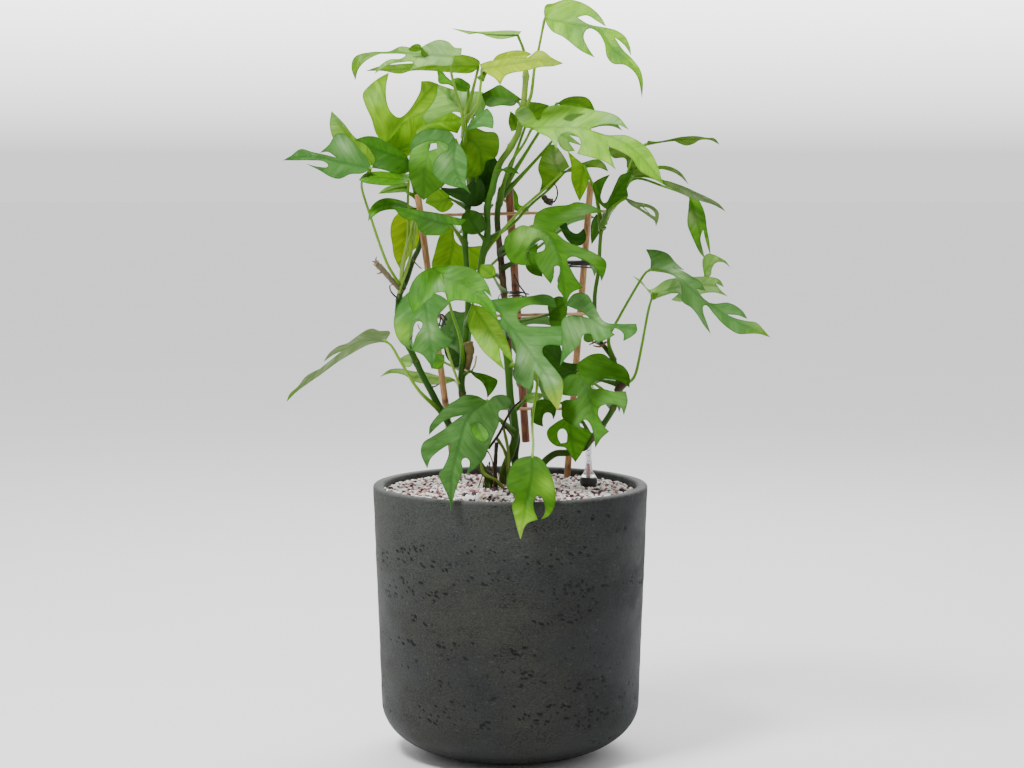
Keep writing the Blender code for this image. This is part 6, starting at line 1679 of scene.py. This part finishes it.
def add_wires(look):
    """Black ties of two twisted strands round the canes, with loose ends."""
    for name, (cane_name, z, reach) in TIES.items():
        cane = CANES[cane_name]
        centre = seen(*cane_point(cane, z))
        round_it = cane["radius"] + 1.5
        made = Gathered()
        for strand in range(2):
            line = []
            for i in range(61):
                turn = 2 * pi * i / 60 * TIE_TURNS
                twist = 2 * pi * i / 7 + pi * strand
                radius = round_it + TIE_TWIST * cos(twist)
                stretch = reach * max(0, -cos(turn)) ** 0.4
                rise = TIE_TWIST * sin(twist) + 0.5 * sin(turn)
                line.append(centre + mm(cos(turn) * radius - stretch, sin(turn) * radius, rise))
            sweep(made, line, [TIE_WIRE_RADIUS] * len(line), 7)
        start = centre + mm(-round_it - reach, 0, 0)
        for end in (-1, 1):
            tail = smooth_line([start, start + mm(-4, -3, end * 3), start + mm(-6, -5, end * 8)], 6)
            sweep(made, tail, [TIE_WIRE_RADIUS] * len(tail), 7)
        made.piece(name + "_twisted", look, "wire", [name])


def add_small_forms(bark_look, wire_look):
    """Dried stubs, sheaths, knots and loose stalks, rootlets at each stem's foot, loose wires."""
    rng = Random(31)
    twigs = Gathered()
    for kind, start, stop, points in TWIGS:
        line = smooth_line([seen(*point) for point in points], 6)
        last = len(line) - 1
        radii = [(start + (stop - start) * i / last) * rng.uniform(0.88, 1.12) for i in range(last + 1)]
        color = tint(TWIG_KINDS[kind], rng, 0.1)
        sweep(twigs, line, radii, 10, leaf_tint=color, bark=0.05 if kind in SMOOTH_KINDS else 0.3)
    for stem in STEMS.values():
        x, y = stem["foot"]
        for i in range(4):
            turn, reach = rng.uniform(0, 2 * pi), rng.uniform(9, 20)
            high = rng.uniform(10, 30)
            bends = [mm(x + reach * out * cos(turn), y + reach * out * sin(turn), FILL_HEIGHT + rise)
                     for out, rise in ((0, high), (0.5, high * 0.6), (1, -1))]
            line = smooth_line(bends, 6)
            radii = [rng.uniform(0.45, 0.9)] * len(line)
            color = tint(TWIG_KINDS["root"], rng, 0.3)
            sweep(twigs, line, radii, 7, leaf_tint=color, bark=0.3)
    twigs.piece("dried_twigs_and_rootlets", bark_look, "foliage")
    wires = Gathered()
    for points in WIRES:
        line = smooth_line([seen(*point) for point in points], 7)
        sweep(wires, line, [LOOSE_WIRE_RADIUS] * len(line), 7)
    wires.piece("loose_wires", wire_look, "wire")


def add_lamp(name, place, aim, power, width):
    lamp = bpy.data.lights.new(name, "AREA")
    lamp.energy = power
    lamp.shape = "DISK"
    lamp.size = width
    made = bpy.data.objects.new(name, lamp)
    bpy.context.scene.collection.objects.link(made)
    made.location = place
    made.rotation_euler = (Vector(aim) - Vector(place)).to_track_quat("-Z", "Y").to_euler()


def add_backdrop():
    """Soft studio surroundings: bright behind the plant, and as pale as the floor at the horizon."""
    world = bpy.data.worlds.new("studio")
    world.use_nodes = True
    tree = world.node_tree
    background = tree.nodes["Background"]
    background.inputs["Color"].default_value = (1, 1, 1, 1)
    way = tree.nodes.new("ShaderNodeTexCoord")
    parts = tree.nodes.new("ShaderNodeSeparateXYZ")
    tree.links.new(way.outputs["Generated"], parts.inputs["Vector"])
    shares = []
    for axis, *limits in BACKDROP:
        share = tree.nodes.new("ShaderNodeMapRange")
        for socket, value in zip(("From Min", "From Max", "To Min", "To Max"), limits):
            share.inputs[socket].default_value = value
        tree.links.new(parts.outputs[axis], share.inputs["Value"])
        shares.append(share.outputs["Result"])
    strength = shares[0]
    for operation, share in zip(("MULTIPLY", "MAXIMUM"), shares[1:]):
        made = tree.nodes.new("ShaderNodeMath")
        made.operation = operation
        tree.links.new(strength, made.inputs[0])
        tree.links.new(share, made.inputs[1])
        strength = made.outputs[0]
    tree.links.new(strength, background.inputs["Strength"])
    bpy.context.scene.world = world


def add_studio():
    """Pale floor, surroundings, lamps, and the camera at the photograph's place."""
    reach = FLOOR_REACH
    mesh = bpy.data.meshes.new("floor")
    mesh.from_pydata([(-reach, -reach, 0), (reach, -reach, 0), (reach, reach, 0), (-reach, reach, 0)],
                     [], [(0, 1, 2, 3)])
    mesh.materials.append(floor_look())
    ground = bpy.data.objects.new("floor", mesh)
    bpy.context.scene.collection.objects.link(ground)
    add_backdrop()
    for name, lamp in LAMPS.items():
        add_lamp(name, *lamp)
    camera = bpy.data.cameras.new("camera")
    camera.lens = LENS
    made = bpy.data.objects.new("camera", camera)
    made.location = mm(*CAMERA_AT)
    made.rotation_euler = (radians(90 - CAMERA_PITCH), 0, 0)
    bpy.context.scene.collection.objects.link(made)
    bpy.context.scene.camera = made


def main():
    stem = add_vines()
    add_pot()
    add_granulate()
    add_trellis()
    add_gauge()
    wire = plastic_look("black_wire", (0.012, 0.012, 0.012), 0.45)
    add_wires(wire)
    add_small_forms(stem, wire)
    add_studio()


main()
